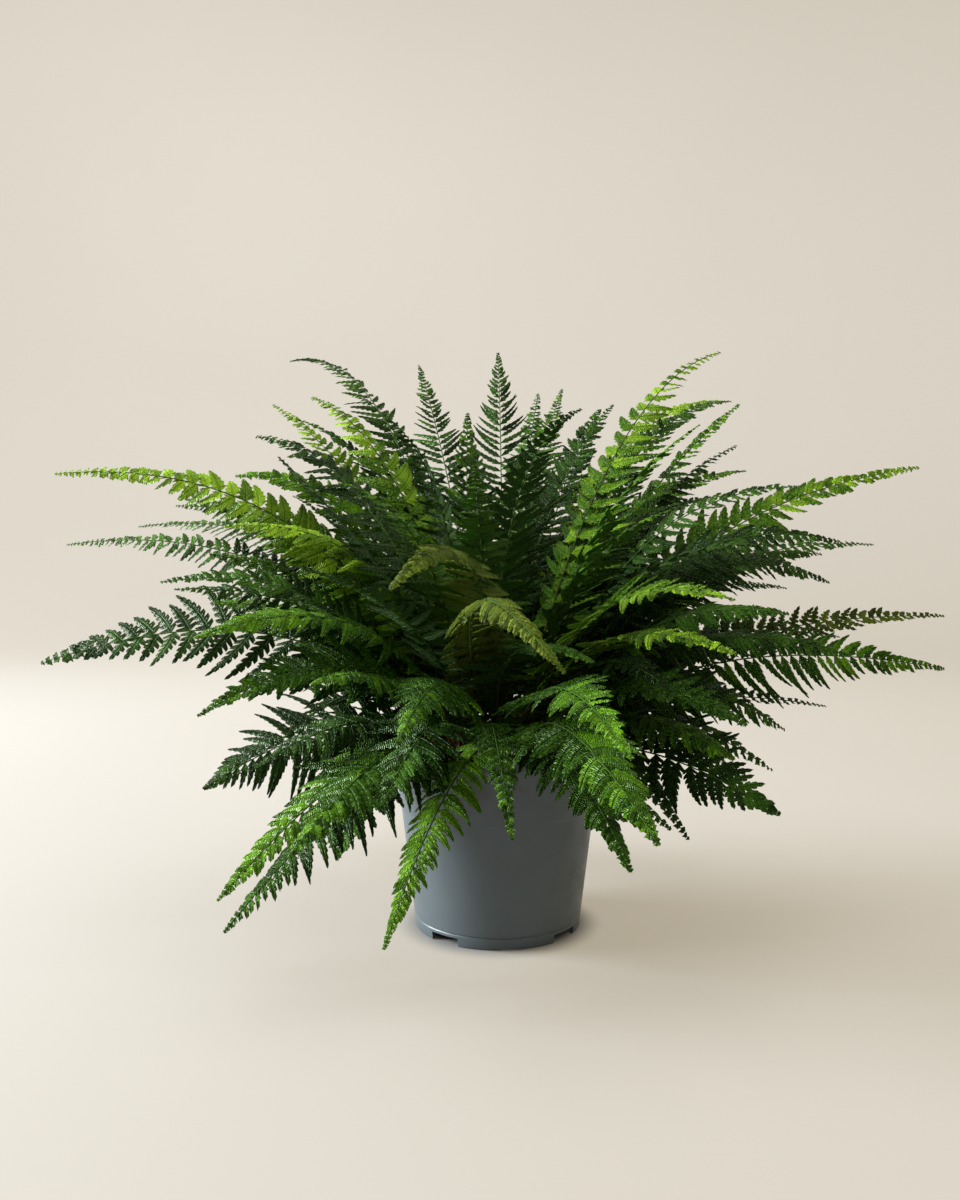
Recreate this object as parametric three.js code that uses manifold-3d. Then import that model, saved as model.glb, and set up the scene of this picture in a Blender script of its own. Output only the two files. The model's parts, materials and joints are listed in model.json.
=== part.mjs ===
// A potted fern: arching fronds, cut into leaflets, grow from a root crown in a plastic grower's pot.
// Millimetres, +Z up. The origin is the middle of the pot's foot, on the surface that it stands on.
// The front is -Y. Directions are degrees from +X towards +Y.
import * as THREE from 'three';
import { mergeVertices } from 'three/addons/utils/BufferGeometryUtils.js';
import Module from 'manifold-3d';

const wasm = await Module();
wasm.setup();

// Space between pieces that lie against each other.
const GAP = 0.4;

// Pot: outer radius at the foot, outward lean of the wall per millimetre of height, and the moulding.
const POT_HEIGHT = 164;
const POT_FOOT_RADIUS = 74.2;
const POT_LEAN = 0.119;
const POT_WALL = 2;
const POT_SIDES = 28;
const BAND_BOTTOM = 109;
const BAND_DEPTH = 1.2;
const LIP_RADIUS = 95;
const LIP_HEIGHT = 8.5;
const LIP_WALL = 3.8;
const GROOVE = { height: 10.6, depth: 0.7, half: 0.7 };
const PAN_RADIUS = 50;
const CHANNEL_ROOF = 8;
const FOOT_RING = 3.2;
const CHAMFER = 1.2;
const NOTCH = { width: 29, height: 7.5, directions: [51, 141, 231, 321] };
const VENT = { width: 12, height: 1.2, directions: [6, 96, 186, 276] };
const DRAIN = { radius: 4.6, ring: 60, count: 6 };

// Soil and the root crown that is sunk in it.
const SOIL_TOP = 146;
const CROWN = {
  radius: 70,
  bottom: 122,
  flare: 9,
  shoulder: 144,
  edge: 149,
  bevel: 4,
  top: 162,
  sides: 12,
};

// Stipe and rib: half width and height of their section at the foot, where the blade starts and at the tip.
const RIB = { foot: [1.6, 2.8], blade: [1.15, 2], tip: [0.45, 0.8] };
const STIPE_SINK = 15;
const STIPE_ROOM = 3.6;
const STIPE_ROOT = 30;
const FOOT_SPACING = 8;
const FOOT_STEP = 2;
const FOOT_RADIUS = { low: 54, high: 10, pull: 1.25, start: 0.12 };
const KNEE_SHARE = 0.3;
const ROLL_SHARE = 1.5;
const KNEE_SWING = 12;

// Leaflets: distance between pairs on the first frond of a foot and on its others, pairs on a frond,
// forward sweep at the base and tip, sag of their ends. The outline is the length of the leaflets as a
// share of the longest: its value at the base, how fast it rises from there, how it tapers, and its
// fullness at the base with the drop of that towards the tip.
const PAIR_SPACING = { lead: 32.5, other: 45 };
const PAIR_CROWDING = 1.12;
const PAIRS = { least: 6, most: 14 };
const SWEEP = { base: 16, tip: 46 };
const SAG = 0.2;
const OUTLINE = { base: 0.62, rise: 1.6, taper: 0.82, fullness: 1.16, drop: 0.3 };
const LEAFLET_LEAST = 2;

// A frond that would touch a neighbour is bent clear of it, in a widening spiral of tries that moves its
// knee much and its tip little, on each of its nearest free feet.
const BEND_STEP = { knee: 7, tip: 2.5 };
const BEND_TRIES = 600;
const FOOT_TRIES = 10;
const GOLDEN_TURN = 2.39996;

const TONES = {
  dark: { color: 0x14351a, roughness: 0.42 },
  green: { color: 0x2c6a1e, roughness: 0.45 },
  light: { color: 0x5f9e24, roughness: 0.5 },
  olive: { color: 0x84903a, roughness: 0.55 },
};

// Sprays that show from the front, each as the fronds on one foot. For each frond: direction, reach and
// height of the tip, height of the crest above the tip, half width of the blade, roll towards its left,
// share of bare stipe, leaf tone and, where it sweeps or dives, how far its knee stands to its left, at
// which share of the way to the tip, and in which direction its foot is.
const FRONT_SPRAYS = [
  [[89, 82, 528, -170, 64, 0, 0.3, 'dark']],
  [[112, 219, 537, -160, 52, 8, 0.28, 'dark'], [100, 151, 490, -140, 44, 0, 0.36, 'green']],
  [[75, 310, 526, -150, 44, -8, 0.28, 'green'], [80, 300, 520, -150, 42, 0, 0.34, 'dark']],
  [[247, 218, 51, 199, 31, 10, 0.34, 'green', { swing: -30, knee: 0.25, root: 318 }]],
  [
    [353, 385, 236, 42, 54, -60, 0.25, 'green'],
    [335, 300, 254, 45, 40, -30, 0.32, 'dark'],
    [6, 309, 195, 45, 19, -25, 0.28, 'dark'],
  ],
  [
    [187, 395, 241, 85, 58, 58, 0.26, 'dark'],
    [195, 279, 317, 40, 38, 35, 0.3, 'dark'],
    [186, 250, 304, 30, 36, 30, 0.32, 'green'],
  ],
  [
    [167, 437, 343, 35, 36, 42, 0.26, 'dark'],
    [172, 292, 388, -10, 38, 35, 0.32, 'dark'],
    [176, 268, 347, 10, 40, 35, 0.34, 'green'],
  ],
  [
    [180, 396, 406, 24, 36, 56, 0.25, 'light'],
    [175, 240, 409, 20, 42, 35, 0.32, 'green'],
    [174, 296, 376, -5, 42, 45, 0.34, 'green'],
  ],
  [[163, 374, 361, 30, 38, 35, 0.24, 'dark'], [168, 284, 266, 40, 38, 35, 0.32, 'green']],
  [[140, 284, 538, 10, 45, 10, 0.3, 'dark'], [135, 221, 508, 0, 16, 12, 0.34, 'green']],
  [[219, 267, 49, 176, 44, 20, 0.26, 'dark', { swing: 20, knee: 0.25, root: 250 }]],
  [[223, 296, 220, 78, 48, 25, 0.24, 'green'], [238, 250, 254, 40, 38, 12, 0.32, 'green']],
  [[219, 288, 274, 55, 44, 25, 0.24, 'green'], [232, 200, 384, -20, 36, 10, 0.32, 'green']],
  [[203, 260, 145, 84, 57, 50, 0.24, 'dark'], [200, 290, 306, 10, 32, 30, 0.32, 'dark']],
  [[229, 303, 93, 125, 44, 15, 0.24, 'green'], [224, 248, 180, 70, 38, 10, 0.32, 'dark']],
  [[289, 262, 122, 100, 32, -10, 0.24, 'dark', { knee: 0.2 }], [300, 230, 234, 50, 36, -10, 0.32, 'dark']],
  [[285, 344, 164, 95, 48, -8, 0.24, 'green']],
  [[316, 202, 114, 125, 20, -10, 0.28, 'dark'], [318, 236, 180, 60, 38, -20, 0.32, 'green']],
  [[321, 265, 142, 75, 57, -40, 0.24, 'dark'], [322, 270, 294, 30, 38, -25, 0.32, 'dark']],
  [[350, 241, 147, 90, 30, -30, 0.25, 'dark'], [355, 290, 294, 30, 40, -35, 0.32, 'dark']],
  [[350, 250, 181, 85, 48, -40, 0.24, 'dark'], [340, 290, 334, 10, 40, -30, 0.32, 'dark']],
  [[7, 428, 275, 8, 34, -35, 0.25, 'olive'], [10, 330, 256, 40, 40, -35, 0.32, 'dark']],
  [[1, 379, 412, -34, 43, -54, 0.25, 'light'], [350, 260, 384, -20, 38, -30, 0.32, 'dark']],
  [[15, 388, 343, 14, 33, -42, 0.25, 'dark'], [5, 300, 334, 10, 38, -35, 0.32, 'dark']],
  [[26, 337, 298, 35, 40, -35, 0.24, 'dark'], [30, 262, 388, -20, 36, -25, 0.32, 'dark']],
  [[31, 304, 420, -20, 38, -25, 0.24, 'green'], [34, 240, 354, 0, 36, -15, 0.36, 'green']],
  [
    [20, 251, 479, -125, 34, -25, 0.24, 'green'],
    [8, 190, 376, -30, 36, -20, 0.36, 'dark'],
    [20, 247, 445, -60, 30, -25, 0.34, 'dark'],
  ],
  [[39, 316, 498, -8, 26, -20, 0.25, 'light'], [60, 227, 489, -90, 42, -10, 0.34, 'dark']],
  [[26, 239, 531, -45, 46, -18, 0.26, 'light'], [25, 247, 467, -60, 36, -20, 0.34, 'dark']],
  [[46, 182, 488, -110, 46, -20, 0.26, 'dark'], [55, 150, 412, -60, 36, -5, 0.38, 'green']],
  [[150, 205, 481, -60, 46, 20, 0.25, 'light'], [158, 275, 324, 10, 32, 25, 0.36, 'dark']],
  [
    [143, 289, 493, -80, 38, 20, 0.25, 'light'],
    [160, 207, 456, -60, 34, 15, 0.34, 'dark'],
    [138, 200, 388, -30, 36, 10, 0.38, 'green'],
  ],
  [[283, 331, 213, 72, 44, -12, 0.24, 'green'], [292, 206, 254, 30, 36, -5, 0.34, 'dark']],
  [[255, 269, 211, 75, 42, 16, 0.24, 'green'], [265, 200, 404, -40, 36, 0, 0.32, 'green']],
  [[277, 297, 262, 119, 27, -10, 0.3, 'olive', { swing: -70 }], [290, 190, 424, -60, 34, 0, 0.32, 'dark']],
  [[258, 330, 315, 90, 38, 10, 0.26, 'olive', { swing: 25 }]],
  [[303, 286, 268, 42, 43, -20, 0.24, 'light'], [320, 200, 434, -60, 36, -10, 0.32, 'green']],
  [[300, 300, 305, 32, 43, -20, 0.25, 'light'], [306, 206, 370, -10, 36, -10, 0.36, 'green']],
  [
    [195, 239, 357, 20, 42, 30, 0.25, 'light'],
    [205, 200, 434, -60, 44, 15, 0.32, 'dark'],
    [170, 218, 433, -40, 42, 20, 0.36, 'dark'],
  ],
  [[226, 172, 92, 130, 46, 15, 0.36, 'dark', { swing: 0, knee: 0.25, root: 205 }]],
  [[247, 220, 154, 95, 46, 10, 0.25, 'dark'], [232, 150, 424, -80, 24, 0, 0.38, 'dark']],
  [[272, 232, 138, 115, 17, 0, 0.25, 'green'], [303, 225, 150, 105, 28, -10, 0.28, 'green']],
  [[241, 294, 138, 100, 44, 10, 0.25, 'green'], [225, 236, 340, 0, 34, 10, 0.36, 'dark']],
  [[312, 262, 212, 60, 42, -20, 0.25, 'green'], [328, 236, 340, 0, 38, -20, 0.34, 'dark']],
];

// Sprays behind, which the front view hides. How many in a fan, the direction of the first and last, and
// for each frond its reach, height, crest, half width, share of bare stipe and tone.
const HIDDEN_FANS = [
  {
    count: 5,
    from: 40,
    to: 144,
    fronds: [
      [356, 334, 20, 44, 0.25, 'green'],
      [322, 186, 84, 40, 0.28, 'dark'],
      [250, 400, -10, 28, 0.36, 'dark'],
    ],
  },
  {
    count: 4,
    from: 50,
    to: 134,
    fronds: [
      [300, 266, 50, 40, 0.25, 'dark'],
      [286, 102, 150, 36, 0.3, 'green'],
      [216, 350, -14, 26, 0.36, 'green'],
    ],
  },
  {
    count: 4,
    from: 22,
    to: 162,
    fronds: [
      [250, 132, 120, 40, 0.25, 'green'],
      [270, 240, 60, 34, 0.34, 'dark'],
    ],
  },
];
const FAN_SCATTER = { direction: 7, reach: 26, height: 22 };
const SEED_STEP = { fan: 100, spray: 10, frond: 3, swing: 50 };

// A repeatable draw from -1 to 1 for each whole number.
function draw(number) {
  let bits = Math.imul(number + 1, 0x9e3779b1) >>> 0;
  bits = Math.imul(bits ^ (bits >>> 15), 0x85ebca77) >>> 0;
  bits = (bits ^ (bits >>> 13)) >>> 0;
  return bits / 0x80000000 - 1;
}

function mix(low, high, share) {
  return low + (high - low) * share;
}

function potRadius(height) {
  return POT_FOOT_RADIUS + POT_LEAN * height;
}

function insideRadius(height) {
  return potRadius(height) - POT_WALL;
}

// Vertices and triangles of a closed geometry, with shared vertices merged and empty triangles left out.
function closedFaces(geometry) {
  const bare = geometry.index ? geometry.toNonIndexed() : geometry.clone();
  bare.deleteAttribute('normal');
  bare.deleteAttribute('uv');
  const merged = mergeVertices(bare, 1e-4);
  const corners = merged.index.array;
  const faces = [];
  for (let i = 0; i < corners.length; i += 3) {
    const [a, b, c] = corners.slice(i, i + 3);
    if (a !== b && b !== c && c !== a) {
      faces.push(a, b, c);
    }
  }
  return { points: Float32Array.from(merged.attributes.position.array), faces: Uint32Array.from(faces) };
}

function solidOf({ points, faces }) {
  return new wasm.Manifold(new wasm.Mesh({ numProp: 3, vertProperties: points, triVerts: faces }));
}

function solidFrom(geometry) {
  return solidOf(closedFaces(geometry));
}

function pieceFrom(solid, name, material) {
  const mesh = solid.getMesh();
  const geometry = new THREE.BufferGeometry();
  geometry.setAttribute('position', new THREE.BufferAttribute(Float32Array.from(mesh.vertProperties), 3));
  geometry.setIndex(new THREE.BufferAttribute(Uint32Array.from(mesh.triVerts), 1));
  geometry.computeVertexNormals();
  const piece = new THREE.Mesh(geometry, material);
  piece.name = name;
  return piece;
}

// A solid turned round the pot's axis, from its outline as [radius, height] pairs.
function turned(outline, sides) {
  const points = outline.map(([radius, height]) => new THREE.Vector2(radius, height));
  const geometry = new THREE.LatheGeometry(points, sides);
  geometry.rotateX(Math.PI / 2);
  return solidFrom(geometry);
}

// A cutter from below, through the foot ring.
function footCutter({ width, height }, direction) {
  const reach = 14;
  const below = 1;
  const geometry = new THREE.BoxGeometry(reach, width, height + below);
  geometry.translate(potRadius(0) - 1, 0, (height - below) / 2);
  geometry.rotateZ(THREE.MathUtils.degToRad(direction));
  return solidFrom(geometry);
}

function drainCutter(turn) {
  const geometry = new THREE.CylinderGeometry(DRAIN.radius, DRAIN.radius, 6, 6);
  geometry.rotateX(Math.PI / 2);
  geometry.translate(DRAIN.ring, 0, CHANNEL_ROOF + POT_WALL / 2);
  geometry.rotateZ(turn);
  return solidFrom(geometry);
}

function potOutline() {
  const roof = CHANNEL_ROOF;
  const floor = roof + POT_WALL;
  const foot = potRadius(0);
  const lipBottom = POT_HEIGHT - LIP_HEIGHT;
  const { height: grooveHeight, depth, half } = GROOVE;
  return [
    [0, 0],
    [PAN_RADIUS, 0],
    [PAN_RADIUS + CHAMFER, roof],
    [foot - FOOT_RING - CHAMFER, roof],
    [foot - FOOT_RING, 0],
    [foot - CHAMFER, 0],
    [potRadius(CHAMFER), CHAMFER],
    [potRadius(grooveHeight - half), grooveHeight - half],
    [potRadius(grooveHeight) - depth, grooveHeight],
    [potRadius(grooveHeight + half), grooveHeight + half],
    [potRadius(BAND_BOTTOM), BAND_BOTTOM],
    [potRadius(BAND_BOTTOM) + BAND_DEPTH, BAND_BOTTOM + BAND_DEPTH],
    [potRadius(lipBottom) + BAND_DEPTH, lipBottom - 1],
    [LIP_RADIUS, lipBottom],
    [LIP_RADIUS, POT_HEIGHT - CHAMFER],
    [LIP_RADIUS - CHAMFER, POT_HEIGHT],
    [LIP_RADIUS - LIP_WALL, POT_HEIGHT],
    [insideRadius(lipBottom), lipBottom - CHAMFER],
    [insideRadius(floor + POT_WALL), floor + POT_WALL],
    [insideRadius(floor) - CHAMFER, floor],
    [PAN_RADIUS - POT_WALL / 2, floor],
    [PAN_RADIUS - POT_WALL, POT_WALL],
    [0, POT_WALL],
  ];
}

function potSolid() {
  let pot = turned(potOutline(), POT_SIDES);
  for (const cut of [NOTCH, VENT]) {
    for (const direction of cut.directions) {
      pot = pot.subtract(footCutter(cut, direction));
    }
  }
  for (let i = 0; i < DRAIN.count; i += 1) {
    pot = pot.subtract(drainCutter((i + 0.5) * 2 * Math.PI / DRAIN.count));
  }
  return pot;
}

// Radius of a pocket whose flat sides stay a gap away from a round piece in it.
function pocketRadius(radius) {
  return (radius + GAP) / Math.cos(Math.PI / POT_SIDES);
}

function soilSolid() {
  const floor = CHANNEL_ROOF + POT_WALL + GAP;
  const pan = PAN_RADIUS - POT_WALL;
  const { radius, bottom, shoulder, flare, bevel } = CROWN;
  const outline = [
    [0, POT_WALL + GAP],
    [pan - GAP, POT_WALL + GAP],
    [pan + POT_WALL / 2 - GAP, floor],
    [insideRadius(floor) - CHAMFER - GAP, floor],
    [insideRadius(floor + POT_WALL) - GAP, floor + POT_WALL],
    [insideRadius(SOIL_TOP) - GAP, SOIL_TOP],
    [pocketRadius(radius), SOIL_TOP + 1],
    [pocketRadius(radius), shoulder],
    [pocketRadius(radius - bevel), bottom + flare - GAP],
    [pocketRadius(radius - 6 * bevel), bottom - GAP],
    [0, bottom - GAP],
  ];
  return turned(outline, POT_SIDES);
}

// Height of the crown's domed top at a radius.
function crownTop(radius) {
  return mix(CROWN.top, CROWN.edge, (radius / (CROWN.radius - CROWN.bevel)) ** 2);
}

function crownSolid(stipeHoles) {
  const { radius, bottom, shoulder, flare, bevel, sides } = CROWN;
  const outline = [
    [0, bottom],
    [radius - 6 * bevel, bottom],
    [radius - bevel, bottom + flare],
    [radius, shoulder],
    [radius - bevel, CROWN.edge],
    [0, CROWN.top],
  ];
  return stipeHoles.reduce((crown, hole) => crown.subtract(hole), turned(outline, sides));
}

function frontFrond([direction, reach, height, crest, halfWidth, roll, bare, tone, sweep = {}], member) {
  const { swing = KNEE_SWING * draw(direction * 7 + height), knee = KNEE_SHARE, root = direction } = sweep;
  const isLead = member === 0;
  return { direction, reach, height, crest, halfWidth, roll, bare, tone, swing, knee, root, isLead };
}

function hiddenSpray(fan, fanNumber, number) {
  const aim = mix(fan.from, fan.to, number / (fan.count - 1));
  return fan.fronds.map(([reach, height, crest, halfWidth, bare, tone], member) => {
    const seed = fanNumber * SEED_STEP.fan + number * SEED_STEP.spray + member * SEED_STEP.frond;
    const direction = aim + FAN_SCATTER.direction * draw(seed);
    return {
      direction,
      reach: reach + FAN_SCATTER.reach * draw(seed + 1),
      height: height + FAN_SCATTER.height * draw(seed + 2),
      crest,
      halfWidth,
      roll: 0,
      bare,
      tone,
      swing: KNEE_SWING * draw(seed + SEED_STEP.swing),
      knee: KNEE_SHARE,
      root: direction,
      isLead: member === 0,
    };
  });
}

// Every spray as a list of the fronds on one foot.
function allSprays() {
  const sprays = FRONT_SPRAYS.map((rows) => rows.map(frontFrond));
  HIDDEN_FANS.forEach((fan, fanNumber) => {
    for (let number = 0; number < fan.count; number += 1) {
      sprays.push(hiddenSpray(fan, fanNumber, number));
    }
  });
  return sprays;
}

function outward(degrees) {
  const angle = THREE.MathUtils.degToRad(degrees);
  return new THREE.Vector3(Math.cos(angle), Math.sin(angle), 0);
}

// The foot stands in the crown under its own frond, low fronds at the edge and upright ones inside. The
// places round there that are clear of the feet before it come in a widening spiral.
function freeFeet(frond, feet) {
  const rise = Math.atan2(frond.height - CROWN.top, frond.reach) / (Math.PI / 2);
  const { low, high, pull, start } = FOOT_RADIUS;
  const radius = mix(low, high, THREE.MathUtils.clamp(rise * pull + start, 0, 1));
  const wanted = outward(frond.root).multiplyScalar(radius);
  const isFree = (foot) => feet.every((other) => distanceOver(foot, other) >= FOOT_SPACING);
  const free = [];
  for (let step = 0; free.length < FOOT_TRIES; step += 1) {
    const foot = wanted.clone().add(onSpiral(step, FOOT_STEP));
    const fromAxis = Math.hypot(foot.x, foot.y);
    if (fromAxis <= low && isFree(foot)) {
      free.push(foot.setZ(crownTop(fromAxis) - STIPE_SINK));
    }
  }
  return free;
}

// Distance between two points as seen from above.
function distanceOver(one, other) {
  return Math.hypot(one.x - other.x, one.y - other.y);
}

// A place on a widening spiral in the XY plane.
function onSpiral(step, size) {
  const spread = size * Math.sqrt(step);
  const turn = step * GOLDEN_TURN;
  return new THREE.Vector3(spread * Math.cos(turn), spread * Math.sin(turn), 0);
}

function tipFor(frond, bend) {
  const aim = outward(frond.direction);
  const across = new THREE.Vector3(-aim.y, aim.x, 0);
  const shift = onSpiral(bend, BEND_STEP.tip);
  return aim.multiplyScalar(frond.reach)
    .addScaledVector(across, shift.x)
    .setZ(frond.height + shift.y);
}

// The middle line of a frond, as an arch from its foot over its knee to its tip.
function middleLine(foot, frond, bend) {
  const tip = tipFor(frond, bend);
  const shift = onSpiral(bend, BEND_STEP.knee);
  const run = new THREE.Vector3(tip.x - foot.x, tip.y - foot.y, 0).normalize();
  const left = new THREE.Vector3(-run.y, run.x, 0);
  const knee = foot.clone().lerp(tip, frond.knee).addScaledVector(left, frond.swing + shift.x);
  return new THREE.QuadraticBezierCurve3(foot, knee.setZ(tip.z + frond.crest + shift.y), tip);
}

function axesAt(line, share, frond) {
  const along = line.getTangentAt(share);
  const run = new THREE.Vector3(line.v2.x - line.v0.x, line.v2.y - line.v0.y, 0).normalize();
  const right = new THREE.Vector3(run.y, -run.x, 0);
  const rolled = THREE.MathUtils.smoothstep(share, 0, frond.bare * ROLL_SHARE);
  const roll = THREE.MathUtils.degToRad(frond.roll) * rolled;
  const side = right.addScaledVector(along, -right.dot(along)).normalize().applyAxisAngle(along, -roll);
  const up = side.clone().cross(along);
  return { along, side, up };
}

function ribSize(share, bare) {
  const [from, to, part] = share < bare
    ? [RIB.foot, RIB.blade, share / bare]
    : [RIB.blade, RIB.tip, (share - bare) / (1 - bare)];
  return [mix(from[0], to[0], part), mix(from[1], to[1], part)];
}

// Ridge, left and right corner of the rib's three-sided section.
function ribCorners(line, share, frond, swell) {
  const { side, up } = axesAt(line, share, frond);
  const middle = line.getPointAt(share);
  const [half, high] = ribSize(share, frond.bare);
  const low = middle.clone().addScaledVector(up, -swell);
  return [
    middle.clone().addScaledVector(up, high + swell),
    low.clone().addScaledVector(side, -half - swell),
    low.clone().addScaledVector(side, half + swell),
  ];
}

function bladeOutline(place) {
  const { base, rise, taper, fullness, drop } = OUTLINE;
  return Math.min(1, base + rise * place) * (1 - place) ** taper * (fullness - drop * place ** 3);
}

function leafletEnd(line, share, place, frond, hand, swell) {
  const { along, side, up } = axesAt(line, share, frond);
  const length = frond.halfWidth * bladeOutline(place) + LEAFLET_LEAST + 3 * swell;
  const sweep = THREE.MathUtils.degToRad(mix(SWEEP.base, SWEEP.tip, place));
  return line.getPointAt(share)
    .addScaledVector(side, hand * length * Math.cos(sweep))
    .addScaledVector(along, length * Math.sin(sweep))
    .addScaledVector(up, -length * SAG);
}

// Shares of the line at which the rib has a section: the stipe's steps, then one between leaflet pairs.
function bladeShares(line, frond) {
  const blade = line.getLength() * (1 - frond.bare);
  const spacing = frond.isLead ? PAIR_SPACING.lead : PAIR_SPACING.other;
  const pairs = THREE.MathUtils.clamp(Math.round(blade / spacing), PAIRS.least, PAIRS.most);
  const shares = [];
  for (let i = 0; i <= pairs; i += 1) {
    shares.push(mix(frond.bare, 1, 1 - (1 - i / pairs) ** PAIR_CROWDING));
  }
  return shares;
}

// A frond as one closed body: three-sided stipe and rib, with a thin leaflet on each side between sections.
function frondFaces(line, frond, swell) {
  const corners = [];
  const faces = [];
  const addPoint = (point) => corners.push(point) - 1;
  const addRing = (share) => ribCorners(line, share, frond, swell).map(addPoint);
  const shares = bladeShares(line, frond);
  const rings = [0, STIPE_ROOT / line.getLength(), ...shares.slice(0, -1)].map(addRing);
  const blade = rings.slice(2);
  const [ridge, left, right] = rings[0];
  faces.push([ridge, left, right]);
  addTube(faces, rings[0], rings[1]);
  addTube(faces, rings[1], rings[2]);
  for (let i = 0; i < shares.length - 2; i += 1) {
    const share = (shares[i] + shares[i + 1]) / 2;
    const place = (share - frond.bare) / (1 - frond.bare);
    const leftEnd = addPoint(leafletEnd(line, share, place, frond, -1, swell));
    const rightEnd = addPoint(leafletEnd(line, share, place, frond, 1, swell));
    addLeaflets(faces, blade[i], blade[i + 1], leftEnd, rightEnd);
  }
  const end = addPoint(line.getPointAt(1));
  const [lastRidge, lastLeft, lastRight] = rings.at(-1);
  faces.push([lastRidge, end, lastLeft], [lastRidge, lastRight, end], [lastLeft, end, lastRight]);
  const points = Float32Array.from(corners.flatMap((corner) => corner.toArray()));
  return { points, faces: Uint32Array.from(faces.flat()) };
}

function addTube(faces, [ridge, left, right], [nextRidge, nextLeft, nextRight]) {
  faces.push([ridge, nextRidge, nextLeft], [ridge, nextLeft, left]);
  faces.push([ridge, right, nextRight], [ridge, nextRight, nextRidge]);
  faces.push([left, nextLeft, nextRight], [left, nextRight, right]);
}

function addLeaflets(faces, [ridge, left, right], [nextRidge, nextLeft, nextRight], leftEnd, rightEnd) {
  faces.push([ridge, nextRidge, leftEnd], [nextRidge, nextLeft, leftEnd], [ridge, leftEnd, left]);
  faces.push([ridge, rightEnd, nextRidge], [nextRidge, rightEnd, nextRight], [ridge, right, rightEnd]);
  faces.push([left, leftEnd, nextLeft], [right, nextRight, rightEnd]);
  faces.push([left, nextLeft, nextRight], [left, nextRight, right]);
}

// The points at a height on the three edges of a stipe's straight root, with room round them.
function rootAt(height, { line, frond }) {
  const low = ribCorners(line, 0, frond, 2 * GAP);
  const high = ribCorners(line, STIPE_ROOT / line.getLength(), frond, 2 * GAP);
  return low.map((corner, i) => corner.lerp(high[i], (height - corner.z) / (high[i].z - corner.z)));
}

// The plain hole for the stipes of a spray: a four-sided wedge, lined up with their foot's direction, round
// their roots in the crown.
function stipeHole(members) {
  const foot = members[0].line.v0;
  const aim = new THREE.Vector3(foot.x, foot.y, 0).normalize();
  const across = new THREE.Vector3(-aim.y, aim.x, 0);
  const points = [foot.z - STIPE_ROOM, CROWN.top + 2].flatMap((height) => {
    const corners = members.flatMap((member) => rootAt(height, member));
    const outs = corners.map((corner) => corner.dot(aim));
    const asides = corners.map((corner) => corner.dot(across));
    const [near, far] = [Math.min(...outs), Math.max(...outs)];
    const [right, left] = [Math.min(...asides), Math.max(...asides)];
    return [[near, right], [far, right], [far, left], [near, left]].flatMap(([out, aside]) => (
      aim.clone().multiplyScalar(out).addScaledVector(across, aside).setZ(height).toArray()
    ));
  });
  const faces = [0, 2, 1, 0, 3, 2, 4, 5, 6, 4, 6, 7];
  for (let i = 0; i < 4; i += 1) {
    const next = (i + 1) % 4;
    faces.push(i, next, next + 4, i, next + 4, i + 4);
  }
  return solidOf({ points: Float32Array.from(points), faces: Uint32Array.from(faces) });
}

// Whether a solid is clear of every other. One that is in the way moves up, to be tried first next time.
function isClear(solid, others) {
  const inTheWay = others.findIndex((other) => !solid.intersect(other).isEmpty());
  if (inTheWay > 0) {
    others.unshift(...others.splice(inTheWay, 1));
  }
  return inTheWay < 0;
}

// The line of a frond with the least bend that is clear of everything before it, from any of the feet.
function clearLine(frond, feet, placed) {
  for (let bend = 0; bend < BEND_TRIES; bend += 1) {
    for (const foot of feet) {
      const line = middleLine(foot, frond, bend);
      if (isClear(solidOf(frondFaces(line, frond, GAP)), placed)) {
        return line;
      }
    }
  }
  throw new Error(`no clear place for the frond at ${frond.direction} degrees`);
}

// Adds a frond to its spray, clear of everything but the fronds that it is fused to.
function growFrond(spray, frond, feet, placed) {
  const others = placed.filter((solid) => !spray.solids.includes(solid));
  const line = clearLine(frond, feet, others);
  const solid = solidOf(frondFaces(line, frond, 0));
  spray.members.push({ frond, line });
  spray.solids.push(solid);
  placed.push(solid);
}

// The first frond of every spray goes to its place first, and the others then fill in on the same foot.
function plantSprays(pot, soil) {
  const placed = [pot, soil];
  const feet = [];
  const sprays = allSprays().map((fronds) => ({ fronds, members: [], solids: [] }));
  for (const spray of sprays) {
    growFrond(spray, spray.fronds[0], freeFeet(spray.fronds[0], feet), placed);
    feet.push(spray.members[0].line.v0);
  }
  for (const spray of sprays) {
    spray.fronds.slice(1).forEach((frond) => growFrond(spray, frond, [spray.members[0].line.v0], placed));
  }
  return sprays;
}

function material(name, color, roughness) {
  const finish = new THREE.MeshStandardMaterial({ color, roughness, metalness: 0 });
  finish.name = name;
  return finish;
}

function pottedFern() {
  const fern = new THREE.Group();
  const pot = potSolid();
  const soil = soilSolid();
  const sprays = plantSprays(pot, soil);
  const crown = crownSolid(sprays.map(({ members }) => stipeHole(members)));
  fern.add(pieceFrom(pot, 'pot', material('pot', 0x667079, 0.55)));
  fern.add(pieceFrom(soil, 'soil', material('soil', 0x2b1d12, 0.95)));
  fern.add(pieceFrom(crown, 'crown', material('crown', 0x4a3018, 0.9)));
  sprays.forEach(({ fronds, solids }, i) => {
    const { tone } = fronds[0];
    const name = `frond_${String(i + 1).padStart(2, '0')}`;
    const solid = solids.reduce((whole, one) => whole.add(one));
    fern.add(pieceFrom(solid, name, material(tone, TONES[tone].color, TONES[tone].roughness)));
  });
  return fern;
}

export default pottedFern();
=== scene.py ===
import json
import math

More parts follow.
